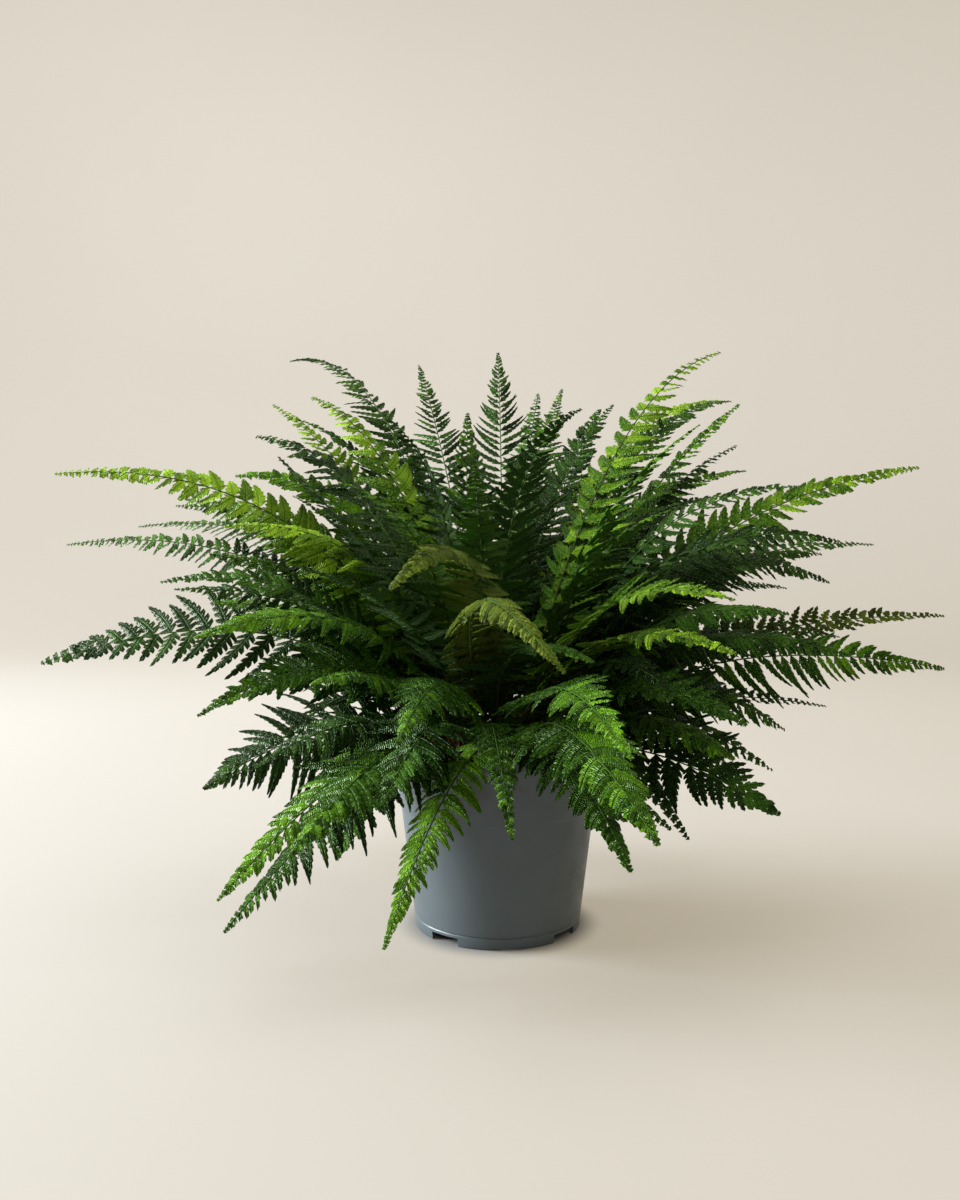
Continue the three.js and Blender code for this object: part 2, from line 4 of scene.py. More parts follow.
import bpy
import numpy as np
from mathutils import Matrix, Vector

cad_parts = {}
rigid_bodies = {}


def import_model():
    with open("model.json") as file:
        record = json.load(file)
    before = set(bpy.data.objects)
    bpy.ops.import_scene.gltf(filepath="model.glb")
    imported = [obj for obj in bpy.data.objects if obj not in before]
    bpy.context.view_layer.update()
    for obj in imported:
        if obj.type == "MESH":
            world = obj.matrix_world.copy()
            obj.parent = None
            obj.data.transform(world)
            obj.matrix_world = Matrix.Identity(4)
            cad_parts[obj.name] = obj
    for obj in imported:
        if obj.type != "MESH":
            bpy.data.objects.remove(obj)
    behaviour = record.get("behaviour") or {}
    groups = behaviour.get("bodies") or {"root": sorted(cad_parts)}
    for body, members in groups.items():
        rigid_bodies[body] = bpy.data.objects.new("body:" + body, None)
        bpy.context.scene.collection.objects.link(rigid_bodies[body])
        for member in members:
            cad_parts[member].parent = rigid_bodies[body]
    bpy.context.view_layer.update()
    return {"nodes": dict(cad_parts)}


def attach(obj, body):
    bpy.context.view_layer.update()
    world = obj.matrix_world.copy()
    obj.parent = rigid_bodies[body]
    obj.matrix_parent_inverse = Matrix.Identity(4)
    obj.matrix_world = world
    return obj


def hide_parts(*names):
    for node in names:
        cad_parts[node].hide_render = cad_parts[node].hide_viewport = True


# A potted fern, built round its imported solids. Lengths in the lists are millimetres, as in the part's
# own source, and meshes are in metres. The front is -Y, and directions are degrees from +X towards +Y.
for leftover in list(bpy.data.objects):
    bpy.data.objects.remove(leftover)
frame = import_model()
print("frame loaded,", len(frame["nodes"]), "nodes")

metre = 0.001
goldenTurn = 2.39996


# small helpers
def mix(low, high, share):
    return low + (high - low) * share


def smoothStep(value, low, high):
    share = np.clip((value - low) / (high - low), 0, 1)
    return share * share * (3 - 2 * share)


def unit(vectors):
    return vectors / np.linalg.norm(vectors, axis=-1, keepdims=True)


def repeatableDraw(number):
    # the same draw from -1 to 1 for each whole number as the part's source makes
    bits = ((number + 1) * 0x9E3779B1) & 0xFFFFFFFF
    bits = ((bits ^ (bits >> 15)) * 0x85EBCA77) & 0xFFFFFFFF
    bits = bits ^ (bits >> 13)
    return bits / 0x80000000 - 1


def addPiece(name, points, triangles, materials, materialOfFace=None, uv=None, tones=None, sharp=50):
    # one closed mesh piece from arrays in millimetres
    mesh = bpy.data.meshes.new(name)
    corners = np.asarray(triangles, np.int32).ravel()
    count = len(corners) // 3
    mesh.vertices.add(len(points))
    mesh.vertices.foreach_set("co", (np.asarray(points) * metre).astype(np.float32).ravel())
    mesh.loops.add(len(corners))
    mesh.loops.foreach_set("vertex_index", corners)
    mesh.polygons.add(count)
    mesh.polygons.foreach_set("loop_start", np.arange(0, count * 3, 3, dtype=np.int32))
    if materialOfFace is not None:
        mesh.polygons.foreach_set("material_index", np.asarray(materialOfFace, np.int32))
    mesh.update(calc_edges=True)
    if uv is not None:
        layer = mesh.uv_layers.new(name="leafUv")
        layer.data.foreach_set("uv", np.asarray(uv, np.float32).ravel())
    if tones is not None:
        tone = mesh.attributes.new("leafTone", "FLOAT", "POINT")
        tone.data.foreach_set("value", np.asarray(tones, np.float32))
    mesh.polygons.foreach_set("use_smooth", np.ones(count, bool))
    mesh.set_sharp_from_angle(angle=math.radians(sharp))
    for material in materials:
        mesh.materials.append(material)
    piece = bpy.data.objects.new(name, mesh)
    bpy.context.scene.collection.objects.link(piece)
    return piece


# helpers for materials
def newMaterial(name):
    material = bpy.data.materials.new(name)
    material.use_nodes = True
    tree = material.node_tree
    tree.nodes.clear()
    return material, tree


def node(tree, kind, settings=None, inputs=None):
    made = tree.nodes.new("ShaderNode" + kind)
    for key, value in (settings or {}).items():
        setattr(made, key, value)
    for key, value in (inputs or {}).items():
        if isinstance(value, bpy.types.NodeSocket):
            tree.links.new(value, made.inputs[key])
        else:
            made.inputs[key].default_value = value
    return made


def rgb(color):
    return (*color, 1)


def mixColors(tree, factor, first, second):
    # sockets 6 and 7 are the node's two colours
    first, second = (rgb(color) if isinstance(color, tuple) else color for color in (first, second))
    return node(tree, "Mix", {"data_type": "RGBA"}, {0: factor, 6: first, 7: second}).outputs[2]


def mathNode(tree, operation, first, second=0.0, clamp=False):
    return node(tree, "Math", {"operation": operation, "use_clamp": clamp}, {0: first, 1: second}).outputs[0]


def ramp(tree, value, fromLow, fromHigh, toLow=0.0, toHigh=1.0):
    return node(tree, "MapRange", {"interpolation_type": "SMOOTHSTEP"}, {
        "Value": value, "From Min": fromLow, "From Max": fromHigh, "To Min": toLow, "To Max": toHigh,
    }).outputs["Result"]


def noise(tree, scale, detail=3.0, roughness=0.5):
    return node(tree, "TexNoise", None, {
        "Vector": node(tree, "TexCoord").outputs["Object"], "Scale": scale, "Detail": detail,
        "Roughness": roughness,
    }).outputs["Fac"]


def bumpFrom(tree, height, strength, depth):
    return node(tree, "Bump", None, {
        "Strength": strength, "Distance": depth, "Height": height,
    }).outputs["Normal"]


def plainSurface(tree, color, rough, bump, more=None):
    body = node(tree, "BsdfPrincipled", None, {
        "Base Color": color, "Roughness": rough, "Normal": bump, **(more or {}),
    })
    node(tree, "OutputMaterial", None, {"Surface": body.outputs[0]})


# leaf materials, for each tone: young and old colour of the upper side, pale underside, light through it
# the old colour is also what the painted shade in the heart of the plant leads to
leafFinish = {
    "dark": {
        "young": (0.062, 0.175, 0.010), "old": (0.0020, 0.013, 0.0018),
        "under": (0.026, 0.070, 0.012), "through": (0.04, 0.18, 0.01), "gloss": 0.27, "sheen": 0.26,
    },
    "green": {
        "young": (0.160, 0.380, 0.010), "old": (0.004, 0.028, 0.0020),
        "under": (0.055, 0.135, 0.014), "through": (0.09, 0.30, 0.01), "gloss": 0.28, "sheen": 0.22,
    },
    "light": {
        "young": (0.320, 0.560, 0.022), "old": (0.010, 0.058, 0.002),
        "under": (0.130, 0.250, 0.022), "through": (0.22, 0.46, 0.01), "gloss": 0.31, "sheen": 0.16,
    },
    "olive": {
        "young": (0.170, 0.240, 0.020), "old": (0.014, 0.034, 0.003),
        "under": (0.100, 0.135, 0.020), "through": (0.26, 0.32, 0.02), "gloss": 0.36, "sheen": 0.13,
    },
}

# what the four tones share: veins, patches and specks, and how gloss and light differ over a leaflet;
# a costa is a leaflet's main vein, and scales count noise to the metre
leafDetail = {
    "throughShare": 0.30, "throughOld": 0.6, "sheenTint": (0.72, 1.0, 0.55),
    "veinDepth": 1.0, "veinHeight": 0.0016, "veinPale": 0.3,
    "midVeinWidth": (0.02, 0.16), "midVeinShare": 0.55, "costaWidth": (0.02, 0.14),
    "sideVeinScale": 2.2, "sideVeinWobble": 0.6, "sideVeinShare": 0.35,
    "patchScale": 38.0, "patchShade": 0.25, "speckScale": 420.0, "speckShade": 0.3, "speckShare": 0.1,
    "edge": (0.55, 0.95), "edgeShade": 0.35, "glossier": -0.06, "duller": 0.1, "underDuller": 0.2,
}


def leafMaterial(tone):
    # leafUv counts the lobes out along the leaflet, and runs out from its costa, plus 2 on the underside
    finish, detail = leafFinish[tone], leafDetail
    material, tree = newMaterial("leaf_" + tone)
    place = node(tree, "UVMap", {"uv_map": "leafUv"}).outputs["UV"]
    parts = node(tree, "SeparateXYZ", None, {"Vector": place})
    across = parts.outputs["Y"]
    isUnder = mathNode(tree, "GREATER_THAN", across, 1.5)
    inLobe = mathNode(tree, "FRACT", parts.outputs["X"])
    fromMid = mathNode(tree, "ABSOLUTE", mathNode(tree, "SUBTRACT", inLobe, 0.5))
    fromCosta = mathNode(tree, "MODULO", across, 2.0)
    midVein = ramp(tree, fromMid, *detail["midVeinWidth"], 1.0, 0.0)
    costa = ramp(tree, fromCosta, *detail["costaWidth"], 1.0, 0.0)
    veins = mathNode(tree, "MAXIMUM", mathNode(tree, "MULTIPLY", midVein, detail["midVeinShare"]), costa)
    sideVeins = node(tree, "TexWave", {"wave_type": "BANDS", "bands_direction": "DIAGONAL"}, {
        "Vector": place, "Scale": detail["sideVeinScale"], "Distortion": detail["sideVeinWobble"],
        "Detail": 1.0,
    }).outputs["Fac"]
    # leafTone is the leaflet's age with the painted shade in the heart of the plant taken off
    age = node(tree, "Attribute", {"attribute_name": "leafTone"}).outputs["Fac"]
    patches = noise(tree, detail["patchScale"])
    specks = noise(tree, detail["speckScale"], 2.0)
    patchy = ramp(tree, patches, 0.3, 0.7, -detail["patchShade"], detail["patchShade"])
    shade = mathNode(tree, "ADD", age, patchy, True)
    upper = mixColors(tree, shade, finish["old"], finish["young"])
    upper = mixColors(tree, ramp(tree, specks, 0.35, 0.7, 0.0, detail["speckShade"]), upper, finish["young"])
    upper = mixColors(tree, mathNode(tree, "MULTIPLY", veins, detail["veinPale"]), upper, finish["under"])
    upper = mixColors(tree, ramp(tree, fromCosta, *detail["edge"], 0.0, detail["edgeShade"]), upper,
                      finish["young"])
    color = mixColors(tree, isUnder, upper, finish["under"])
    relief = mathNode(tree, "ADD", mathNode(tree, "MULTIPLY", veins, -1.0),
                      mathNode(tree, "MULTIPLY", sideVeins, detail["sideVeinShare"]))
    relief = mathNode(tree, "ADD", relief, mathNode(tree, "MULTIPLY", specks, detail["speckShare"]))
    bump = bumpFrom(tree, relief, detail["veinDepth"], detail["veinHeight"])
    rough = ramp(tree, patches, 0.25, 0.75, finish["gloss"] + detail["glossier"],
                 finish["gloss"] + detail["duller"])
    rough = mathNode(tree, "ADD", rough, mathNode(tree, "MULTIPLY", isUnder, detail["underDuller"]))
    body = node(tree, "BsdfPrincipled", None, {
        "Base Color": color, "Roughness": rough, "Normal": bump, "Specular IOR Level": finish["sheen"],
        "Specular Tint": rgb(detail["sheenTint"]),
    })
    glow = mixColors(tree, shade, tuple(detail["throughOld"] * c for c in finish["through"]),
                     finish["through"])
    through = node(tree, "BsdfTranslucent", None, {"Color": glow, "Normal": bump})
    both = node(tree, "MixShader", None, {
        0: detail["throughShare"], 1: body.outputs[0], 2: through.outputs[0],
    })
    node(tree, "OutputMaterial", None, {"Surface": both.outputs[0]})
    return material


stalkFinish = {
    "foot": (0.050, 0.022, 0.010), "middle": (0.100, 0.085, 0.022), "blade": (0.030, 0.072, 0.010),
    "footEnds": (0.02, 0.14), "middleEnds": (0.14, 0.42), "wobble": 0.05,
    "roughness": 0.5, "sheen": 0.06, "grain": 900.0, "grainDepth": 0.0004,
}


def stalkMaterial():
    # leafTone is here the share of the way from the foot to the tip
    finish = stalkFinish
    material, tree = newMaterial("frond_stalk")
    share = node(tree, "Attribute", {"attribute_name": "leafTone"}).outputs["Fac"]
    streaks = ramp(tree, noise(tree, 160.0, 4.0), 0.3, 0.7, -finish["wobble"], finish["wobble"])
    wobble = mathNode(tree, "ADD", share, streaks)
    color = mixColors(tree, ramp(tree, wobble, *finish["footEnds"]), finish["foot"], finish["middle"])
    color = mixColors(tree, ramp(tree, wobble, *finish["middleEnds"]), color, finish["blade"])
    bump = bumpFrom(tree, noise(tree, finish["grain"], 2.0), 0.4, finish["grainDepth"])
    plainSurface(tree, color, finish["roughness"], bump, {"Specular IOR Level": finish["sheen"]})
    return material


scaleFinish = {
    "rust": (0.180, 0.068, 0.020), "umber": (0.055, 0.022, 0.010), "roughness": 0.62,
    "patchScale": 260.0, "grain": 1200.0, "grainDepth": 0.0003,
}


def scaleMaterial():
    finish = scaleFinish
    material, tree = newMaterial("brown_scales")
    patches = noise(tree, finish["patchScale"], 2.0)
    color = mixColors(tree, ramp(tree, patches, 0.35, 0.65), finish["umber"], finish["rust"])
    bump = bumpFrom(tree, noise(tree, finish["grain"], 2.0), 0.3, finish["grainDepth"])
    plainSurface(tree, color, finish["roughness"], bump)
    return material


leafMaterials = {tone: leafMaterial(tone) for tone in leafFinish}
stalk = stalkMaterial()
scales = scaleMaterial()
print("leaf materials ready")


# where the fronds stand, and how they arch: the part's own lists
frondRule = {
    "knee": 0.3, "kneeSwing": 12, "rollShare": 1.5, "kneeBend": 7, "tipBend": 2.5, "bends": 600,
    "curveSteps": 201, "cornerNear": 0.05, "footZone": {"radius": 62, "above": 126, "band": 4.5},
    "fanJitter": {"direction": 7, "reach": 26, "height": 22}, "waver": 13, "waverTurns": 5,
    "rim": {"radius": 96.5, "height": 164.8},
    "ribFoot": (1.6, 2.8), "ribBlade": (0.85, 1.7), "ribTip": (0.35, 0.7),
    "outline": {"base": 0.62, "rise": 1.6, "taper": 0.82, "fullness": 1.16, "drop": 0.3},
}

# sprays that show from the front, each as the fronds on one foot: direction, reach and height of the tip,
# crest over the tip, half width, roll, bare share and tone, then what a frond has of its own
frontSprays = [
    [[89, 82, 528, -170, 64, 0, 0.3, "dark"]],
    [[112, 219, 537, -160, 52, 8, 0.28, "dark"], [100, 151, 490, -140, 44, 0, 0.36, "green"]],
    [[75, 310, 526, -150, 44, -8, 0.28, "green"], [80, 300, 520, -150, 42, 0, 0.34, "dark"]],
    [[247, 218, 51, 199, 31, 10, 0.34, "green", {"swing": -30, "knee": 0.25}]],
    [
        [353, 385, 236, 42, 54, -60, 0.25, "green"],
        [335, 300, 254, 45, 40, -30, 0.32, "dark"],
        [6, 309, 195, 45, 19, -25, 0.28, "dark"],
    ],
    [
        [187, 395, 241, 85, 58, 58, 0.26, "dark"],
        [195, 279, 317, 40, 38, 35, 0.3, "dark"],
        [186, 250, 304, 30, 36, 30, 0.32, "green"],
    ],
    [
        [167, 437, 343, 35, 36, 42, 0.26, "dark"],
        [172, 292, 388, -10, 38, 35, 0.32, "dark"],
        [176, 268, 347, 10, 40, 35, 0.34, "green"],
    ],
    [
        [180, 396, 406, 24, 36, 56, 0.25, "light"],
        [175, 240, 409, 20, 42, 35, 0.32, "green"],
        [174, 296, 376, -5, 42, 45, 0.34, "green"],
    ],
    [[163, 374, 361, 30, 38, 35, 0.24, "dark"], [168, 284, 266, 40, 38, 35, 0.32, "green"]],
    [[140, 284, 538, 10, 45, 10, 0.3, "dark"], [135, 221, 508, 0, 16, 12, 0.34, "green"]],
    [[219, 267, 49, 176, 44, 20, 0.26, "dark", {"swing": 20, "knee": 0.25}]],
    [[223, 296, 220, 78, 48, 25, 0.24, "green"], [238, 250, 254, 40, 38, 12, 0.32, "green"]],
    [[219, 288, 274, 55, 44, 25, 0.24, "green"], [232, 200, 384, -20, 36, 10, 0.32, "green"]],
    [[203, 260, 145, 84, 57, 50, 0.24, "dark"], [200, 290, 306, 10, 32, 30, 0.32, "dark"]],
    [[229, 303, 93, 125, 44, 15, 0.24, "green"], [224, 248, 180, 70, 38, 10, 0.32, "dark"]],
    [[289, 262, 122, 100, 32, -10, 0.24, "dark", {"knee": 0.2}], [300, 230, 234, 50, 36, -10, 0.32, "dark"]],
    [[285, 344, 164, 95, 48, -8, 0.24, "green"]],
    [[316, 202, 114, 125, 20, -10, 0.28, "dark"], [318, 236, 180, 60, 38, -20, 0.32, "green"]],
    [[321, 265, 142, 75, 57, -40, 0.24, "dark"], [322, 270, 294, 30, 38, -25, 0.32, "dark"]],
    [[350, 241, 147, 90, 30, -30, 0.25, "dark"], [355, 290, 294, 30, 40, -35, 0.32, "dark"]],
    [[350, 250, 181, 85, 48, -40, 0.24, "dark"], [340, 290, 334, 10, 40, -30, 0.32, "dark"]],
    [[7, 428, 275, 8, 34, -35, 0.25, "olive"], [10, 330, 256, 40, 40, -35, 0.32, "dark"]],
    [[1, 379, 412, -34, 43, -54, 0.25, "light"], [350, 260, 384, -20, 38, -30, 0.32, "dark"]],
    [[15, 388, 343, 14, 33, -42, 0.25, "dark"], [5, 300, 334, 10, 38, -35, 0.32, "dark"]],
    [[26, 337, 298, 35, 40, -35, 0.24, "dark"], [30, 262, 388, -20, 36, -25, 0.32, "dark"]],
    [[31, 304, 420, -20, 38, -25, 0.24, "green"], [34, 240, 354, 0, 36, -15, 0.36, "green"]],
    [
        [20, 251, 479, -125, 34, -25, 0.24, "green"],
        [8, 190, 376, -30, 36, -20, 0.36, "dark"],
        [20, 247, 445, -60, 30, -25, 0.34, "dark"],
    ],
    [[39, 316, 498, -8, 26, -20, 0.25, "light"], [60, 227, 489, -90, 42, -10, 0.34, "dark"]],
    [[26, 239, 531, -45, 46, -18, 0.26, "light"], [25, 247, 467, -60, 36, -20, 0.34, "dark"]],
    [[46, 182, 488, -110, 46, -20, 0.26, "dark"], [55, 150, 412, -60, 36, -5, 0.38, "green"]],
    [[150, 205, 481, -60, 46, 20, 0.25, "light"], [158, 275, 324, 10, 32, 25, 0.36, "dark"]],
    [
        [143, 289, 493, -80, 38, 20, 0.25, "light"],
        [160, 207, 456, -60, 34, 15, 0.34, "dark"],
        [138, 200, 388, -30, 36, 10, 0.38, "green"],
    ],
    [[283, 331, 213, 72, 44, -12, 0.24, "green"], [292, 206, 254, 30, 36, -5, 0.34, "dark"]],
    [[255, 269, 211, 75, 42, 16, 0.24, "green"], [265, 200, 404, -40, 36, 0, 0.32, "green"]],
    [[277, 297, 262, 119, 27, -10, 0.3, "olive", {"swing": -70}], [290, 190, 424, -60, 34, 0, 0.32, "dark"]],
    [[258, 330, 315, 90, 38, 10, 0.26, "olive", {"swing": 25}]],
    [[303, 286, 268, 42, 43, -20, 0.24, "light"], [320, 200, 434, -60, 36, -10, 0.32, "green"]],
    [[300, 300, 305, 32, 43, -20, 0.25, "light"], [306, 206, 370, -10, 36, -10, 0.36, "green"]],
    [
        [195, 239, 357, 20, 42, 30, 0.25, "light"],
        [205, 200, 434, -60, 44, 15, 0.32, "dark"],
        [170, 218, 433, -40, 42, 20, 0.36, "dark"],
    ],
    [[226, 172, 92, 130, 46, 15, 0.36, "dark", {"swing": 0, "knee": 0.25}]],
    [[247, 220, 154, 95, 46, 10, 0.25, "dark"], [232, 150, 424, -80, 24, 0, 0.38, "dark"]],
    [[272, 232, 138, 115, 17, 0, 0.25, "green"], [303, 225, 150, 105, 28, -10, 0.28, "green"]],
    [[241, 294, 138, 100, 44, 10, 0.25, "green"], [225, 236, 340, 0, 34, 10, 0.36, "dark"]],
    [[312, 262, 212, 60, 42, -20, 0.25, "green"], [328, 236, 340, 0, 38, -20, 0.34, "dark"]],
]

# fans behind: count, first and last direction, and reach, height, crest, half width, bare share and tone
hiddenFans = [
    [5, 40, 144, [[356, 334, 20, 44, 0.25, "green"], [322, 186, 84, 40, 0.28, "dark"],
                  [250, 400, -10, 28, 0.36, "dark"]]],
    [4, 50, 134, [[300, 266, 50, 40, 0.25, "dark"], [286, 102, 150, 36, 0.3, "green"],
                  [216, 350, -14, 26, 0.36, "green"]]],
    [4, 22, 162, [[250, 132, 120, 40, 0.25, "green"], [270, 240, 60, 34, 0.34, "dark"]]],
]


def frontFrond(row):
    keys = ("direction", "reach", "height", "crest", "halfWidth", "roll", "bare", "tone")
    frond = dict(zip(keys, row))
    own = row[len(keys)] if len(row) > len(keys) else {}
    swing = frondRule["kneeSwing"] * repeatableDraw(frond["direction"] * 7 + frond["height"])
    return {**frond, "swing": swing, "knee": frondRule["knee"], **own}


def hiddenFrond(row, aim, seed):
    reach, height, crest, halfWidth, bare, tone = row
    jitter = frondRule["fanJitter"]
    return {
        "direction": aim + jitter["direction"] * repeatableDraw(seed),
        "reach": reach + jitter["reach"] * repeatableDraw(seed + 1),
        "height": height + jitter["height"] * repeatableDraw(seed + 2),
        "crest": crest, "halfWidth": halfWidth, "roll": 0, "bare": bare, "tone": tone,
        "swing": frondRule["kneeSwing"] * repeatableDraw(seed + 50), "knee": frondRule["knee"],
    }


def allSprays():
    sprays = [[frontFrond(row) for row in rows] for rows in frontSprays]
    for fanNumber, (count, first, last, rows) in enumerate(hiddenFans):
        for number in range(count):
            aim = mix(first, last, number / (count - 1))
            start = fanNumber * 100 + number * 10
            sprays.append([hiddenFrond(row, aim, start + member * 3) for member, row in enumerate(rows)])
    return sprays


def nodePoints(name):
    mesh = frame["nodes"][name].data
    places = np.zeros(len(mesh.vertices) * 3, np.float32)
    mesh.vertices.foreach_get("co", places)
    return places.reshape(-1, 3).astype(float) / metre


def footOf(points):
    # the lowest corners of the stalks inside the crown
    zone = frondRule["footZone"]
    near = points[(np.hypot(points[:, 0], points[:, 1]) < zone["radius"]) & (points[:, 2] > zone["above"])]
    return near[near[:, 2] < near[:, 2].min() + zone["band"]].mean(axis=0)


def onSpiral(step, size):
    far, turn = size * math.sqrt(step), step * goldenTurn
    return far * math.cos(turn), far * math.sin(turn)


def bendOf(frond, points):
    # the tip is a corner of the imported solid, at one of the places that the source's bending rule tries
    angle = math.radians(frond["direction"])
    aim = np.array([math.cos(angle), math.sin(angle), 0])
    across = np.array([-math.sin(angle), math.cos(angle), 0])
    steps = np.arange(frondRule["bends"])
    spread, turn = frondRule["tipBend"] * np.sqrt(steps), steps * goldenTurn
    tips = aim * frond["reach"] + across * (spread * np.cos(turn))[:, None]
    tips[:, 2] = frond["height"] + spread * np.sin(turn)
    off = np.linalg.norm(tips[:, None] - points[None], axis=2).min(axis=1)
    isNear = off < frondRule["cornerNear"]
    found = int(np.argmax(isNear)) if isNear.any() else int(np.argmin(off))
    return tips[found], found, off[found]


def frondCurve(frond, foot, tip, bend):
    # an arch from the foot over the knee to the tip, by equal steps of its own length
    run = np.array([tip[0] - foot[0], tip[1] - foot[1], 0])
    run = run / np.linalg.norm(run)
    aside, rise = onSpiral(bend, frondRule["kneeBend"])
    knee = mix(foot, tip, frond["knee"]) + np.array([-run[1], run[0], 0]) * (frond["swing"] + aside)
    knee[2] = tip[2] + frond["crest"] + rise
    t = np.linspace(0, 1, frondRule["curveSteps"])[:, None]
    points = (1 - t) ** 2 * foot + 2 * t * (1 - t) * knee + t ** 2 * tip
    tangents = unit(2 * (1 - t) * (knee - foot) + 2 * t * (tip - knee))
    gone = np.concatenate([[0], np.cumsum(np.linalg.norm(np.diff(points, axis=0), axis=1))])
    return {"shares": gone / gone[-1], "points": points, "tangents": tangents, "length": gone[-1], "run": run}


def alongCurve(curve, shares, key):
    return np.stack([np.interp(shares, curve["shares"], curve[key][:, i]) for i in range(3)], axis=-1)


def axesAt(curve, shares, frond):
    along = unit(alongCurve(curve, shares, "tangents"))
    right = np.array([curve["run"][1], -curve["run"][0], 0])
    roll = math.radians(frond["roll"]) * smoothStep(shares, 0, frond["bare"] * frondRule["rollShare"])
    roll = roll + math.radians(frond["waver"]) * np.sin(shares * frondRule["waverTurns"] + frond["waver"])
    side = unit(right - along * (along @ right)[:, None])
    up = np.cross(side, along)
    turnedSide = side * np.cos(roll)[:, None] + up * np.sin(roll)[:, None]
    return along, turnedSide, np.cross(turnedSide, along)


def bladeOutline(place):
    o = frondRule["outline"]
    widening = np.minimum(1, o["base"] + o["rise"] * place)
    return widening * (1 - place) ** o["taper"] * (o["fullness"] - o["drop"] * place ** 3)


# the leaflets: each is cut into lobes or teeth, and closed on both sides
leafletRule = {
    "pairSpacing": (7.2, 9.8), "narrow": {"below": 42, "least": 0.7, "more": 0.3},
    "leastPairs": 14, "mostPairs": 44, "crowding": 1.42, "offsets": ((1, 0.5), (-1, 0.3)),
    "lobeLength": 5.6, "mostLobes": 8, "plainLobes": 3, "reach": 1.27, "lengthJitter": 0.15,
    "width": {"lobed": (1.3, 1.6), "toothed": (1.15, 1.4), "slender": (0.92, 1.08), "lacy": (1.0, 1.15)},
    "cut": {"lobed": (0.34, 0.76), "toothed": (0.66, 0.86), "slender": (0.60, 0.84), "lacy": (0.14, 0.62)},
    "widthJitter": 0.1, "tipWider": 0.4, "plump": (0.28, 1.1), "leastHalf": 0.7,
    "curl": (12, 34), "curlJitter": 6, "leastCurl": 4, "uncurl": 0.4,
    "sweepBase": 16, "sweepTip": 46, "sweepEnd": 16, "sweepJitter": 8, "twist": -8, "twistJitter": 22,
    "fold": (-18, 14), "sag": 0.2, "sagJitter": 1.0, "sagPower": 1.5, "arch": 0.10,
    "relief": 0.85, "marginDrop": 0.9, "flatBelow": 4.5, "seatLift": 0.4,
    "toothedShare": 0.35, "slenderShare": 0.3, "slenderDark": 1.7, "slenderPale": 0.5,
    "lowStart": 0.5, "lowLength": 0.3, "tipSlim": 0.22, "least": 1.8,
    "age": 0.8, "agePower": 1.2, "tipYoung": 0.5, "toneJitter": 0.42,
    # inner: painted shade in the heart of the plant, its middle, where it fades out, and how deep it goes
    # from frond to frond
    "inner": {"centre": (0, 0, 210), "near": 110, "far": 390, "darker": (0.08, 1.05)},
}

# a leaflet's lobes, in shares of its length, half width and relief
lobeRule = {
    "outline": {"base": 0.88, "rise": 1.2, "round": 1.1, "taper": 0.78},
    "crowding": 1.1, "tipRoom": 0.6, "lean": 0.10, "notchLean": 0.6, "cutFade": 0.8,
    "footNotch": (0.015, 0.14), "ear": 1.22, "heart": 0.52, "heartLean": 0.5,
    "costaHigh": 0.1, "costaLow": -1.0, "notchHigh": -0.15, "heartLow": -0.3, "edgeHigh": -0.7,
    # corners of the edge: place along the lobe, reach across, place in the lobe's veins
    "toothEdge": ((0.72, 1, 0.5),), "lobeEdge": ((0.16, 0.92, 0.2), (0.74, 0.97, 0.7)),
}


def leafletOutline(u):
    o = lobeRule["outline"]
    return np.minimum(1, o["base"] + o["rise"] * u) * (1 - u ** o["round"]) ** o["taper"]


